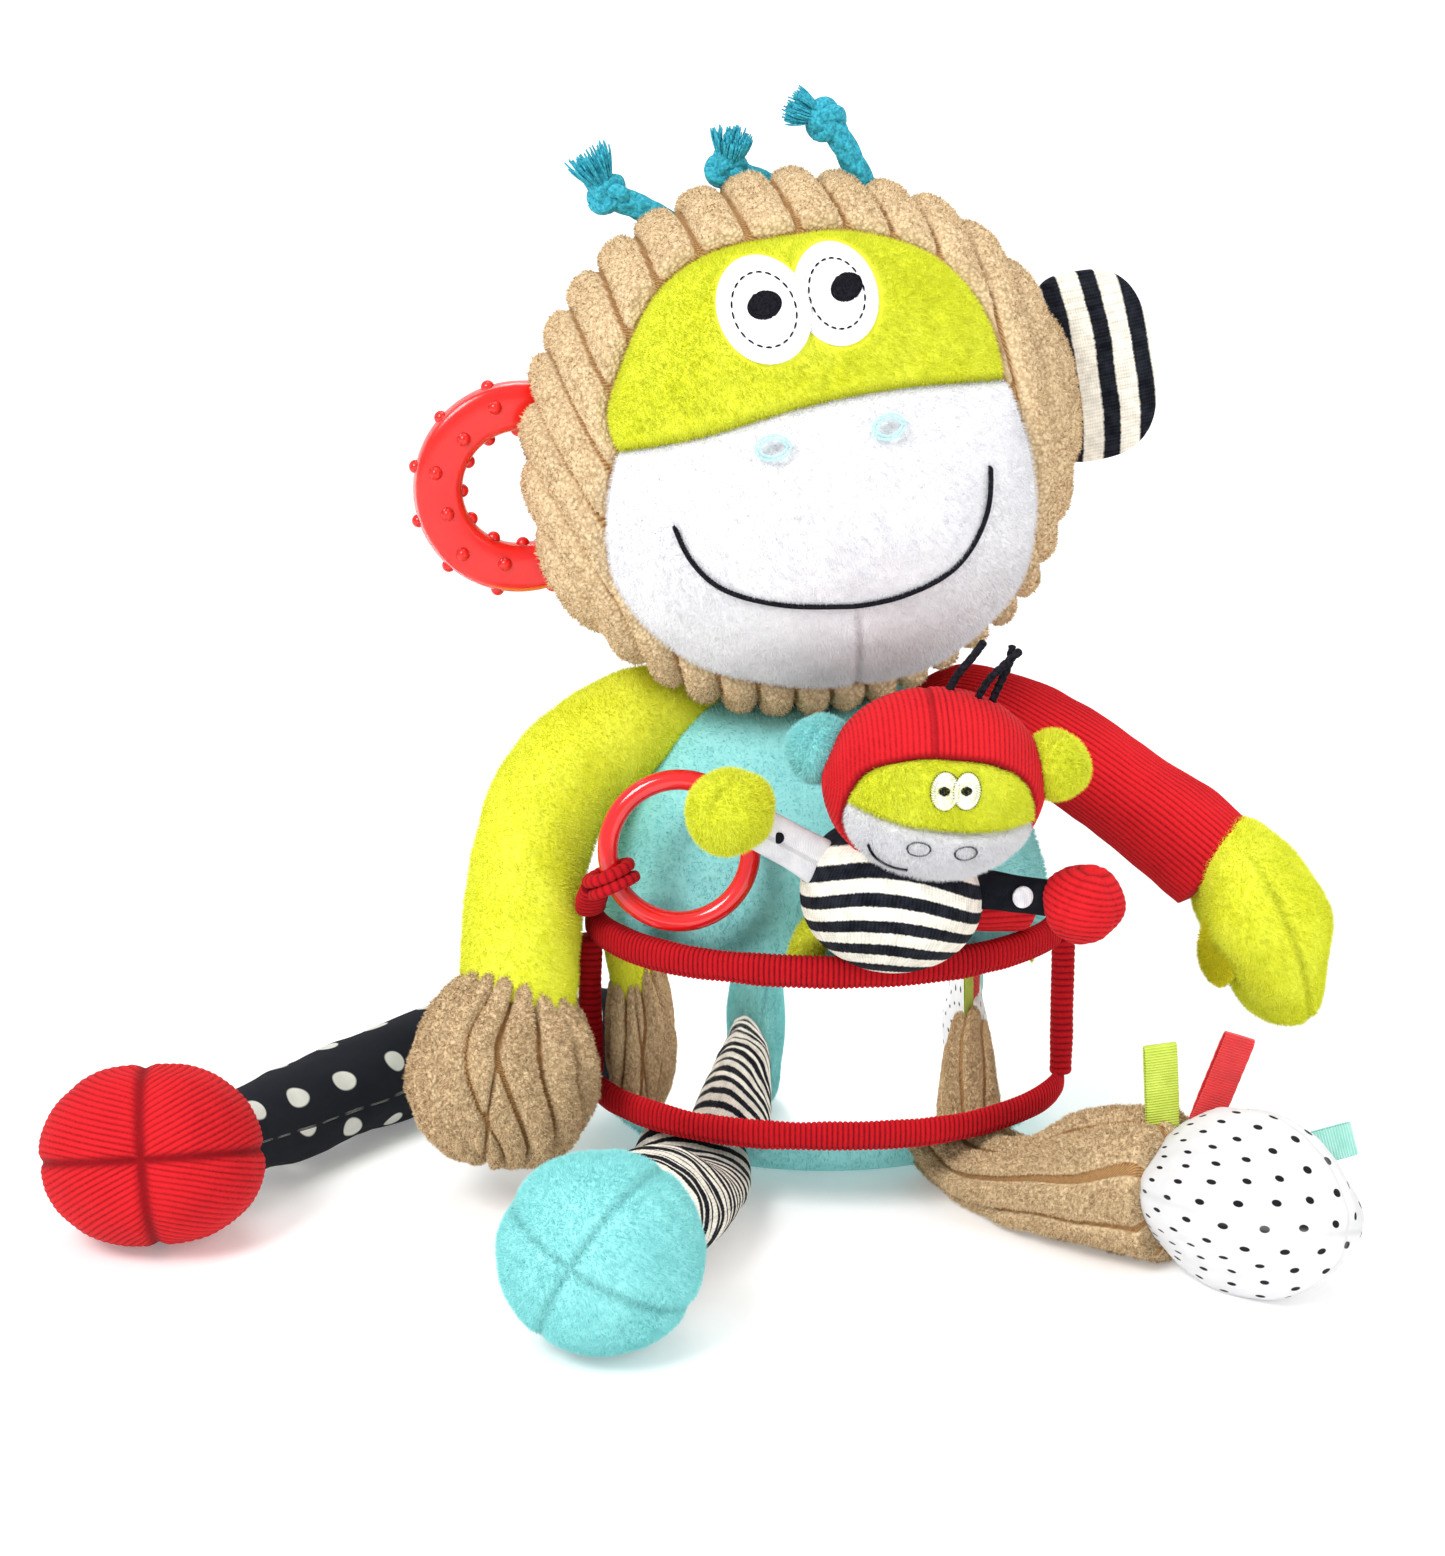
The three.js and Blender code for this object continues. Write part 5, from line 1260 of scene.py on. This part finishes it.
def pear(ax, X, Z):
    k = 0.93 + 0.13 * np.clip(ax, -1, 1)
    return ax, X * k, Z * k


def mitt(ax, X, Z):
    k = 1.0 - 0.16 * np.clip(ax, 0, 1) ** 2
    return ax, X * k, Z * (k - 0.05 * np.clip(ax, 0, 1))


def squarish(ax, X, Z):
    a_ = np.arctan2(Z, X)
    k = 1 + 0.035 * np.cos(4 * (a_ + 0.5))
    return ax, X * k, Z * k


def paw(name, at, dir, long, wide, tall, mat, nodes, body, slot, nv=130, nu=200, wales=0, cord=0, pile=0, seed=1, gore=4, turn=0.0, depth=1.3, diamond=0.0, point=0.0, terry_amp=0.5, lumps=1.2, uvk=1.0, floor=None, squash=1.0, plen=1.4, pwid=0.24, wfloor=0.86, shape=None, crown=1.0, twist=0.0, relief=3.0):
    G0, N0, th, ph = pod_grid(at, dir, long, wide, tall, nv, nu, turn=0.0, point=point, shape=shape)
    rad = (wide + tall) / 2
    g_d, g = gores(th, ph, gore, turn, depth=depth, width=(1.7 if depth > 0.6 else 1.0) / rad, puff=crown)
    d = g_d + lumps * vnoise(G0, 17, seed) + 0.35 * vnoise(G0, 6, seed + 1)
    if diamond:
        d = d + diamond * rad * np.cos((ph - turn) * gore) * np.sin(th) ** 1.5 * sstep(th, 0.5, 1.2)
    h = None
    if wales:
        wob = 0.22 * vnoise(G0, 20, seed + 2)
        h = wale((ph + twist * sstep(th, 1.2, 3.0)) * wales / (2 * math.pi) + wob, wfloor)
        shr = np.clip(np.sin(th) * 1.6, 0, 1)
        h = np.clip(h * shr + (1 - shr) * 0.8, 0, 1) * (1 - 0.9 * g)
        d = d - 1.6 - (relief - 3.0) * 0.5 + relief * h + terry(G0, terry_amp, seed + 3) * sstep(h, 0.15, 0.6)
    if cord:
        k = np.round((ph - turn) * gore / (2 * math.pi) - 0.5) + 0.5
        mid = turn + k * 2 * math.pi / gore
        dv = np.array(dir, float) / np.linalg.norm(dir)
        X = np.sin(th) * np.cos(ph) * wide
        Z = np.sin(th) * np.sin(ph) * tall
        swing = mid + np.where(np.mod(k - 0.5, 2) > 0.5, 0.55, -0.35)
        tang = -X * np.sin(swing) + Z * np.cos(swing)
        R_ = rad * 1.02
        arcs = R_ * np.arcsin(np.clip(tang / R_, -1, 1))
        h = np.abs(np.sin(math.pi * (arcs + 0.3 * vnoise(G0, 12, seed + 4)) / cord)) ** 0.7 * (1 - g)
        d = d + 0.35 * (h - 0.6)
    P = G0 + N0 * d[..., None]
    if floor is not None:
        P[..., 2] = np.maximum(P[..., 2], floor)
    part = Part(name, mat)
    far_ = (math.pi - th) * (long + rad) / 2 * 0.92
    uv = (far_ * np.cos(ph) * uvk, far_ * np.sin(ph) * uvk)
    # seam: the gore seams are painted darker in the materials, as shade
    part.grid(P, closed=True, uv=uv, seam=g, h=h, flip=False)
    if pile:
        Ng = normals_of(P, True)
        Ng *= np.sign((Ng * N0).sum(-1))[..., None]
        part.pile(P, Ng, pile, plen, pwid, lean=0.6 if not wales else 0.9, seed=seed, comb=(0, 0, -0.3), seam=g, h=h if wales else None, uv=uv, keep=None if not wales else (h > 0.35) * 1.0)
    return part.done(body, nodes, slot, 0.85)


paw("hand_cord_right", (-98, -59, 45), (-0.16, -0.2, -1), 30.5, 27.5, 30, M["tan"], ["right_hand"], "right_arm", "tan_chunky_cord", 170, 230, wales=14, pile=70000, seed=101, turn=0.95, depth=0.3, plen=1.4, pwid=0.5, terry_amp=0.7, shape=pear, wfloor=0.87, lumps=1.8, twist=0.8, relief=4.2)
paw("hand_plush_left", (134, -31, 81.5), (0.42, -0.1, -0.9), 34.5, 23.5, 17.8, M["lime"], ["left_hand"], "left_arm", "lime_plush", 150, 180, pile=55000, seed=103, turn=0.9, depth=1.0, lumps=2.6, shape=mitt)
paw("foot_plush_right", (-66, -165, 29), (-0.27, -0.93, 0.24), 30.5, 28.2, 27.2, M["aqua"], ["right_foot"], "right_leg", "aqua_plush", 150, 200, pile=70000, seed=105, turn=-0.5, depth=0.9, lumps=0.8, floor=0.2, diamond=-0.02, shape=squarish)
paw("foot_spotted_left", (121, -120, 25.5), (0.66, -0.74, 0.06), 37.0, 26.2, 25.2, M["day"], ["left_foot"], "left_leg", "white_spotted_cloth", 170, 240, seed=107, turn=-0.2, depth=0.5, diamond=0.085, point=0.05, lumps=0.7, floor=0.2, uvk=1.0, crown=0.3)
paw("tail_tip_corduroy", (-202, -89, 27.5), (0.02, -0.94, 0.33), 31, 33, 27.2, M["red"], ["tail_tip"], "tail", "red_corduroy", 210, 460, cord=1.8, seed=109, turn=0.06, depth=0.9, lumps=0.7, floor=0.2)

# hook tape on the left palm
nrm = np.array([-0.72, -0.66, -0.2])
nrm /= np.linalg.norm(nrm)
upv = np.array([0.25, -0.25, 1.0])
upv -= nrm * (upv @ nrm)
upv /= np.linalg.norm(upv)
sdv = np.cross(upv, nrm)
t = np.linspace(0, 2 * math.pi, 90, endpoint=False)
rows = []
for q, hgt in ((1.0, -3.5), (1.0, 0.2), (0.96, 0.9), (0.85, 1.1), (0.6, 1.3), (0.3, 1.4), (0.03, 1.4)):
    ctr = np.array([118.9, -45.4, 78.0])
    off = (np.cos(t) * 7.4 * q)[:, None] * sdv + (sgn(np.sin(t), 0.85) * 16.5 * q)[:, None] * upv
    curve_in = -((np.cos(t) * 6.2 * q) ** 2 / 60 + (np.sin(t) * 15.5 * q) ** 2 / 90)[:, None] * nrm
    rows.append(ctr + off + curve_in + nrm * (hgt - 0.4))
G = np.array(rows)
part = Part("palm_hook_tape", M["hook"])
part.grid(G, closed=True)
Ng = normals_of(G, True)
Ng *= np.sign((Ng * nrm).sum(-1) + 1e-6)[..., None]
part.pile(G, Ng, 9000, 1.1, 0.22, lean=0.4, seed=111, comb=(0, 0, 0), keep=np.broadcast_to((np.arange(G.shape[0]) >= 1)[:, None], G.shape[:2]) * 1.0)
part.done("left_arm", ["left_palm_patch"], "lime_hook_tape")

# ------------------------------------------------------------------ ribbon tags on the left foot
def ribbon(name, node, pts, wdir, slot, mat):
    pts = np.array(pts, float)
    st = np.concatenate([pts, np.full((len(pts), 1), 5.0), np.full((len(pts), 1), 0.32)], 1)
    P, s, phi, circ = tube_grid(st, 90, 24, up=np.cross(wdir, pts[1] - pts[0]) * -1, power=7,
                                disp=lambda s, ph, P, r: 0.05 * np.sin(2 * math.pi * s / 0.8))
    part = Part(name, mat)
    part.grid(P, closed=True, uv=(np.broadcast_to(circ, P.shape[:2]), np.broadcast_to(s[:, None], P.shape[:2])))
    o = part.done("left_leg", [node], slot)
    return o


def loop_pts(a, b, gapdir, gap=1.9):
    a, b, g = np.array(a, float), np.array(b, float), np.array(gapdir, float)
    g /= np.linalg.norm(g)
    pts = [a + g * gap * 0.2]
    for k in (0.3, 0.6, 0.88):
        pts.append(a + (b - a) * k + g * gap * 0.5)
    pts.append(b - (b - a) * 0.03 + g * gap * 0.35)
    pts.append(b + 0 * g)
    pts.append(b - (b - a) * 0.03 - g * gap * 0.35)
    for k in (0.88, 0.6, 0.3):
        pts.append(a + (b - a) * k - g * gap * 0.5)
    pts.append(a - g * gap * 0.2)
    return pts


for nm, node, a, b, w, slot_, mt in (
    ("ribbon_green", "ribbon_tag_green", (97.5, -103, 42), (96.0, -101.5, 67.5), (1, 0.25, 0), "green_ribbon", "green"),
    ("ribbon_red", "ribbon_tag_red", (109.5, -103.5, 43.5), (119.5, -101, 70), (0.92, 0.25, -0.33), "red_ribbon", "rribbon"),
    ("ribbon_mint", "ribbon_tag_mint", (136, -113, 38), (152.3, -112, 42.3), (-0.25, 0.1, 1), "mint_ribbon", "mint"),
):
    ax = np.array(b, float) - np.array(a, float)
    w = np.array(w, float)
    w -= ax * (w @ ax) / (ax @ ax)
    w /= np.linalg.norm(w)
    gd = np.cross(w, ax)
    p = loop_pts(a, b, gd)
    ribbon(nm, node, p, w, slot_, M[mt])

# ------------------------------------------------------------------ the small rattle monkey
BHO = np.array([29.5, -87.0, 143.0])
RB = rot("Z", 6) @ rot("Y", 4)
bA, bF, bB, bC = 31.5, 25.0, 23.0, 27.5
bw = lambda P: P @ RB.T + BHO
bn = lambda P: ell_normal(P, bA, bF, bB, bC)
by = lambda x, z: face_y(x, z, bA, bF, bC)
bTOP = curve2([(-27.2, -2.5), (-22.5, 7.5), (-10, 13.0), (2, 13.6), (14, 11.8), (24, 5.5), (28.0, -6.5)], 160)
bSEAM = curve2([(-27.2, -2.5), (-14, -5.8), (0, -7.4), (14, -7.8), (28.0, -6.5)], 160)
bLOW = curve2([(-27.2, -2.5), (-27, -11), (-20, -20.0), (-8, -25.2), (6, -26.0), (18, -22.0), (26.2, -13.5), (28.0, -6.5)], 160)


def baby_face(name, mat, a, b, nv, count, node, seed):
    v = (1 - np.cos(np.linspace(0, math.pi, nv))) / 2
    xz = a[None] * (1 - v)[:, None, None] + b[None] * v[:, None, None]
    gap = np.linalg.norm(b - a, axis=1)[None, :]
    dist = np.minimum(v[:, None] * gap, (1 - v)[:, None] * gap)
    L = np.stack([xz[..., 0], by(xz[..., 0], xz[..., 1]), xz[..., 1]], -1)
    N = bn(L)
    g = np.exp(-((dist / 1.2) ** 2))
    d = -1.2 * g + 0.9 * (1 - g) + 0.2 * vnoise(L, 5, seed)
    P = bw(L + N * d[..., None])
    Nw = N @ RB.T
    part = Part(name, mat)
    # seam: the materials paint the panel-edge grooves darker, as shade
    part.grid(np.concatenate([(P[0] - Nw[0] * 2.5)[None], P, (P[-1] - Nw[-1] * 2.5)[None]]), closed=False, seam=np.concatenate([g[:1], g, g[-1:]]), flip=True)
    part.pile(P, Nw, count, 1.7, 0.2, closed=False, lean=0.7, seed=seed, comb=(0.05, 0, -0.45), seam=g)
    part.done("baby", [node], "lime_plush" if "brow" in name else "white_plush")


baby_face("small_brow_plush", M["lime"], bSEAM, bTOP, 50, 16000, "baby_brow_panel", 121)
baby_face("small_muzzle_plush", M["white"], bLOW, bSEAM, 60, 20000, "baby_muzzle_panel", 122)

nv, nu = 120, 520
ring = np.concatenate([bTOP[::-1], bLOW[1:-1]])
ra = np.arctan2(ring[:, 1] / bC, ring[:, 0] / bA)
rs = np.hypot(ring[:, 0] / bA, ring[:, 1] / bC)
o = np.argsort(ra)
al = np.linspace(-math.pi, math.pi, nu, endpoint=False)
psb = np.arcsin(np.clip(np.interp(al, ra[o], rs[o], period=2 * math.pi), 0, 0.999))
psi = psb[None] + (math.pi - 0.003 - psb[None]) * np.linspace(0, 1, nv)[:, None]
dep = np.where(np.cos(psi) > 0, bF, bB)
L = np.stack([bA * np.sin(psi) * np.cos(al[None]), -dep * np.cos(psi), bC * np.sin(psi) * np.sin(al[None])], -1)
N = bn(L)
dist = (psi - psb[None]) * 27
X = np.clip(L[..., 0], -bA * 0.99, bA * 0.99)
h = np.abs(np.sin(math.pi * bA * np.arcsin(X / bA) / 1.7)) ** 0.7
edge = np.exp(-((dist / 1.2) ** 2))
mid = np.exp(-(((L[..., 0] + 4) / 0.9) ** 2)) * (L[..., 2] > 0)
h = h * (1 - edge) * (1 - 0.6 * mid)
d = 0.32 * (h - 0.5) - 1.0 * edge - 0.35 * mid + 0.5 * vnoise(L, 10, 125) + 0.9
P = bw(L + N * d[..., None])
part = Part("small_cap_corduroy", M["red"])
Nw = N @ RB.T
# seam: the edge groove and the middle seam are painted darker in the corduroy, as shade
part.grid(np.concatenate([(P[0] - Nw[0] * 2.5)[None], P]), closed=True, h=np.concatenate([h[:1], h]), seam=np.concatenate([edge[:1], np.clip(edge + 0.35 * mid, 0, 1)]), caps="end")
part.done("baby", ["baby_head_cap"], "red_corduroy")


def on_baby(x, z, lift):
    x, z = np.asarray(x, float), np.asarray(z, float)
    L = np.stack([x, by(x, z), z], -1)
    N = bn(L)
    return bw(L + N * lift), N @ RB.T


def ring_sat(part, cx, cz, r0x, r0z, r1x, r1z, n, lift, r):
    t = np.linspace(0, 2 * math.pi, n, endpoint=False)
    A_, Nn = on_baby(cx + r0x * np.cos(t), cz + r0z * np.sin(t), lift)
    B_, _ = on_baby(cx + r1x * np.cos(t + 0.1), cz + r1z * np.sin(t + 0.1), lift + 0.1)
    satin(part, A_, B_, r, Nn, seg=4)


def disc_sat(part, cx, cz, rx, rz, n, lift, r):
    z = np.linspace(-rz * 0.95, rz * 0.95, n)
    w = rx * np.sqrt(1 - (z / rz) ** 2)
    A_, Nn = on_baby(cx - w, cz + z, lift)
    B_, _ = on_baby(cx + w, cz + z, lift)
    satin(part, A_, B_, r, Nn, seg=5)


BE = [(-1.2, 5.0, 3.9, 5.2), (5.0, 5.2, 3.8, 5.0)]
part = Part("small_eye_stitching", M["whitethread"])
for i, (cx, cz, rx, rz) in enumerate(BE):
    disc_sat(part, cx, cz, rx * 0.9, rz * 0.9, 22, 1.25 + 0.1 * i, 0.3)
    ring_sat(part, cx, cz, rx, rz, rx - 1.1, rz - 1.1, 44, 1.4 + 0.1 * i, 0.26)
part.done("baby", [], "white_plush")
part = Part("small_ink_stitching", M["inkthread"])
for cx, cz, rx, rz in BE:
    ring_sat(part, cx, cz, rx + 0.05, rz + 0.05, rx + 0.3, rz + 0.3, 40, 1.25, 0.16)
    disc_sat(part, cx - 0.3, cz + 0.2, 1.6, 1.15, 9, 1.8, 0.22)
for cx, cz in ((-6.6, -12.2), (6.6, -13.0)):
    ring_sat(part, cx, cz, 3.4, 2.5, 2.9, 2.0, 34, 1.7, 0.22)
sm = np.array([(-19.5, -13.0), (-17.2, -16.6), (-13.2, -19.0), (-8.2, -19.6)])
cs_, ss_ = interp_path(np.array([[x, 0, z] for x, z in sm]), 30)
A_, Nn = on_baby(cs_[:-1, 0], cs_[:-1, 2], 1.9)
B_, _ = on_baby(cs_[1:, 0], cs_[1:, 2], 1.9)
satin(part, A_, B_, 0.45, Nn, seg=4)
part.done("baby", [], "teal_cord")


def fuzz_ball(name, at, r, mat, node, body, slot, seed, count=16000, cord=0.0, squash_=(1, 1, 1)):
    G0, N0, th, ph = pod_grid(at, (0.15, -0.25, 1), r * squash_[2], r * squash_[0], r * squash_[1], 90 if cord else 60, 160 if cord else 90)
    g_d, g = gores(th, ph, 4, 0.4, depth=0.35, width=0.9 / r, puff=0.3)
    h = None
    d = g_d + 0.9 * vnoise(G0, 8, seed) + 0.9 * vnoise(G0, 13, seed + 5)
    if cord:
        h = np.abs(np.sin(math.pi * (G0[..., 2] - at[2] + 0.2 * (G0[..., 0] - at[0]) + 0.3 * vnoise(G0, 9, seed)) / cord)) ** 0.7
        d = d + 0.32 * (h - 0.5)
    P = G0 + N0 * d[..., None]
    part = Part(name, mat)
    # seam: the gore seams are painted slightly darker, as shade
    part.grid(P, closed=True, h=h, seam=g * 0.25)
    if count:
        Ng = normals_of(P, True)
        Ng *= np.sign((Ng * N0).sum(-1))[..., None]
        part.pile(P, Ng, count, 1.8, 0.22, lean=0.8, seed=seed, comb=(0, 0, -0.3))
    return part.done(body, [node], slot)


fuzz_ball("small_ear_right_plush", (-3.5, -81, 151.5), 9.0, M["aqua"], "baby_ear_right", "baby", "aqua_plush", 131)
fuzz_ball("small_ear_left_plush", (64.5, -83, 147), 9.4, M["lime"], "baby_ear_left", "baby", "lime_plush", 132)
fuzz_ball("small_hand_right_plush", (-29.5, -96, 137.2), 12.2, M["lime"], "baby_right_hand", "baby_right_arm", "lime_plush", 133, 22000, squash_=(1.0, 0.9, 1.0))
fuzz_ball("small_hand_left_corduroy", (74, -88, 106.5), 11.6, M["red"], "baby_left_hand", "baby_left_arm", "red_corduroy", 134, 0, cord=1.8)

# striped belly with the rattle inside
G0, N0, th, ph = pod_grid((17.6, -82, 107.6), (0.16, 0.0, 1), 23.5, 27.0, 21.5, 120, 260, up=(0, 1, 0))
ribv = np.abs(np.sin(30 * ph)) ** 0.8
d = 0.22 * (ribv - 0.5) + 0.5 * vnoise(G0, 12, 141)
P = G0 + N0 * d[..., None]
part = Part("small_belly_knit", M["body"])
zz_ = G0[..., 2] + 0.15 * (G0[..., 0] - 19.5) + 0.012 * (G0[..., 0] - 19.5) ** 2
part.grid(P, closed=True, uv=(zz_, ph * 24), h=ribv)
part.done("baby", ["baby_body"], "striped_knit", 0.9)


def flat_arm(name, p, q, mat, node, body, slot, w=2.4, t=6.9, bend=0.0, seed=1):
    p, q = np.array(p, float), np.array(q, float)
    d = (q - p) / np.linalg.norm(q - p)
    st = [[*(p - d * 4), w, t], [*p, w, t], [*((p + q) / 2 + np.array([0, 0, bend])), w * 0.9, t * 0.92], [*q, w * 0.9, t * 0.9], [*(q + d * 3), w * 0.8, t * 0.8]]
    P, s, phi, circ = tube_grid(st, 70, 60, up=(0, 0, 1), power=3.0, disp=lambda s, ph, P, r: 0.4 * vnoise(P, 6, seed))
    part = Part(name, mat)
    part.grid(P, closed=True, uv=(np.broadcast_to(s[:, None], P.shape[:2]), np.broadcast_to(circ, P.shape[:2])))
    return part.done(body, [node], slot)


def plain_cloth(name, base, dark):
    n = Nodes(name)
    r = n.attr("rest")
    u = n.sep(n.attr("uvm"))
    wx = n.m("SINE", n.m("MULTIPLY", u[0], 2 * math.pi / 0.0006))
    wy = n.m("SINE", n.m("MULTIPLY", u[1], 2 * math.pi / 0.0006))
    tex = n.m("MULTIPLY", wx, wy)
    tone = n.ramp(n.m("ADD", n.m("MULTIPLY", tex, 0.2), n.noise(r, 260, 3)), 0.25, 0.8)
    n.set(Base_Color=n.mix(tone, dark, base), Roughness=0.85, Normal=n.bump(tex, 0.00015, 0.7))
    n.bsdf.inputs["Sheen Weight"].default_value = 0.01
    n.bsdf.inputs["Specular IOR Level"].default_value = 0.07
    return n.mat


M["wcloth"] = plain_cloth("white_cloth", (0.86, 0.86, 0.88), (0.70, 0.70, 0.74))
M["bcloth"] = plain_cloth("black_cloth", (0.013, 0.014, 0.020), (0.005, 0.006, 0.009))
flat_arm("small_arm_right_cloth", (-6.5, -88, 121), (-24, -94, 133), M["wcloth"], "baby_right_arm", "baby_right_arm", "white_spotted_cloth", seed=151)
flat_arm("small_arm_left_cloth", (45.5, -85, 109.6), (64, -87, 107.6), M["bcloth"], "baby_left_arm", "baby_left_arm", "black_spotted_cloth", t=6.0, seed=152)


def dot(name, at, nr, up, rx, rz, mat, body):
    nr = np.array(nr, float)
    nr /= np.linalg.norm(nr)
    up = np.array(up, float)
    up -= nr * (up @ nr)
    up /= np.linalg.norm(up)
    sd_ = np.cross(up, nr)
    t = np.linspace(0, 2 * math.pi, 40, endpoint=False)
    rows = []
    for q, hg in ((1, -1.0), (1, 0.0), (0.9, 0.12), (0.5, 0.2), (0.05, 0.22)):
        rows.append(np.array(at, float) + (np.cos(t) * rx * q)[:, None] * sd_ + (np.sin(t) * rz * q)[:, None] * up + nr * hg)
    Part(name, mat).grid(np.array(rows), closed=True).done(body, [], "white_spotted_cloth")


dot("small_arm_right_spot", (-15.8, -93.9, 128.4), (-0.3, -0.95, 0.05), (0, 0, 1), 1.5, 1.7, M["bcloth"], "baby_right_arm")
dot("small_arm_left_spot", (56.0, -88.8, 108.6), (0.1, -1, 0.05), (0.2, 0, 1), 3.0, 3.3, M["wcloth"], "baby_left_arm")


def small_leg(name, st, mat, node, slot, pile=0, pitch=0, seed=1):
    k = {}

    def dp(s, phi, P, r):
        d = 0.5 * vnoise(P, 8, seed)
        if pitch:
            h = np.abs(np.sin(round(2 * math.pi * 6 / pitch) * phi / 2)) ** 0.7
            k["h"] = h
            d = d + 0.4 * (h - 0.5)
        return d

    P, s, phi, circ = tube_grid(st, 90, 140 if pitch else 60, disp=dp, round_a=3, round_b=3)
    part = Part(name, mat)
    part.grid(P, closed=True, h=k.get("h"))
    if pile:
        Ng = normals_of(P, True)
        Ng *= np.sign((Ng * (P - P.mean(1, keepdims=True))).sum(-1))[..., None]
        part.pile(P, Ng, pile, 1.4, 0.22, lean=0.7, seed=seed, comb=(0, 0, -0.3))
    part.done("baby", [node], slot)


small_leg("small_leg_right_plush", [[8, -69, 100, 6, 5], [4, -66.5, 96, 6.5, 5], [-5, -63.5, 88, 6.8, 4.4], [-8, -62.2, 67, 6.8, 4.0]], M["lime"], "baby_right_leg", "lime_plush", pile=12000, seed=161)
small_leg("small_leg_left_corduroy", [[33, -68, 98, 5.5, 5], [38, -64, 96, 6, 5.3], [50, -58.5, 94.5, 5.3, 6.3], [61, -51.5, 93, 5.8, 6.8]], M["red"], "baby_left_leg", "red_corduroy", pitch=2.0, seed=162)


def small_hair(name, pts, seed):
    r = 1.25
    st = [[*p, r - 0.15, r - 0.15] for p in pts]
    P, s, phi, circ = tube_grid(st, 170, 18, disp=lambda s, ph, P, r_: braid(s, ph, P, r_, 2, 2.6, 0.16), round_b=0.8)
    part = Part(name, M["inkcord"])
    part.grid(P, closed=True)
    o = part.done("baby", [], "teal_cord")
    c, ss = interp_path(np.array(pts, float), 24)


small_hair("small_hair_a", [(31, -85, 158), (32.5, -86, 168), (35.5, -86.5, 175), (40, -87, 181), (43.5, -87, 186)], 171)
small_hair("small_hair_b", [(41, -86, 157), (41.5, -87, 167.5), (44.5, -88, 174), (49, -88.5, 179), (54, -88, 183.5)], 172)
small_hair("small_hair_c", [(45.2, -84, 153), (46, -85, 166.5), (48, -86, 172.5), (50.5, -86.5, 178.5), (51.5, -86, 184.5)], 173)

# ------------------------------------------------------------------ what stays from the frame: inner pieces
KEEP = {"mirror_backing": "inner", "crackle_film": "inner", "foot_squeaker": "inner", "tail_bell": "ring", "baby_rattle": "inner", "pellet_bag": "wcloth"}


def still(obj, mat):
    obj.data.materials.clear()
    obj.data.materials.append(mat)


def obj_mat(name, dark, light, rough, scale, bump=0.0002, metal=0.0):
    n = Nodes(name)
    tc = n.t.nodes.new("ShaderNodeTexCoord")
    a = n.noise(tc.outputs["Object"], scale, 3)
    n.set(Base_Color=n.mix(n.ramp(a, 0.3, 0.7), dark, light), Roughness=n.ramp(a, 0.2, 0.8, rough, rough + 0.1), Normal=n.bump(a, bump, 0.5), Metallic=metal)
    return n.mat


INNER = obj_mat("inner_plastic", (0.55, 0.55, 0.53), (0.78, 0.78, 0.74), 0.4, 220)
CLOTH = obj_mat("inner_cloth", (0.50, 0.48, 0.43), (0.72, 0.70, 0.64), 0.9, 900)
BELL = obj_mat("bell_metal", (0.55, 0.50, 0.36), (0.80, 0.74, 0.58), 0.25, 160, metal=1.0)
for name, mat in (("mirror_backing", CLOTH), ("crackle_film", INNER), ("foot_squeaker", INNER), ("tail_bell", BELL), ("baby_rattle", INNER), ("pellet_bag", CLOTH)):
    ob = bpy.data.objects.get(name)
    if ob is not None:
        still(ob, mat)

# ------------------------------------------------------------------ floor and light
n = Nodes("studio_floor")
tc = n.t.nodes.new("ShaderNodeTexCoord")
a = n.noise(tc.outputs["Object"], 3.0, 3)
n.set(Base_Color=n.mix(n.ramp(a, 0.3, 0.7), (0.87, 0.87, 0.87), (0.91, 0.91, 0.91)), Roughness=0.9)
# painted light: the floor glows, from 0.22 near the toy to 0.62 two metres out, so it reads white far away
q = n.sep(tc.outputs["Object"])
far = n.m("SQRT", n.m("ADD", n.m("MULTIPLY", q[0], q[0]), n.m("MULTIPLY", q[1], q[1])))
n.set(Emission_Strength=n.ramp(far, 0.2, 2.2, 0.22, 0.62), Emission_Color=(1, 1, 1))
bpy.ops.mesh.primitive_plane_add(size=60, location=(0, 0, 0))
fl = bpy.context.object
fl.name = "floor"
fl.data.materials.append(n.mat)

world = bpy.data.worlds.new("studio")
world.use_nodes = True
bg = world.node_tree.nodes["Background"]
bg.inputs[0].default_value = (1, 1, 1, 1)
bg.inputs[1].default_value = 0.72
bpy.context.scene.world = world
area_light("key", (-0.9, -1.2, 1.4), (-0.02, -0.03, 0.12), 0.7, 26)
area_light("fill", (1.3, -1.0, 0.9), (0, 0, 0.12), 1.2, 8.5)
area_light("top", (0.1, 0.3, 1.9), (0, 0, 0.1), 1.2, 10)
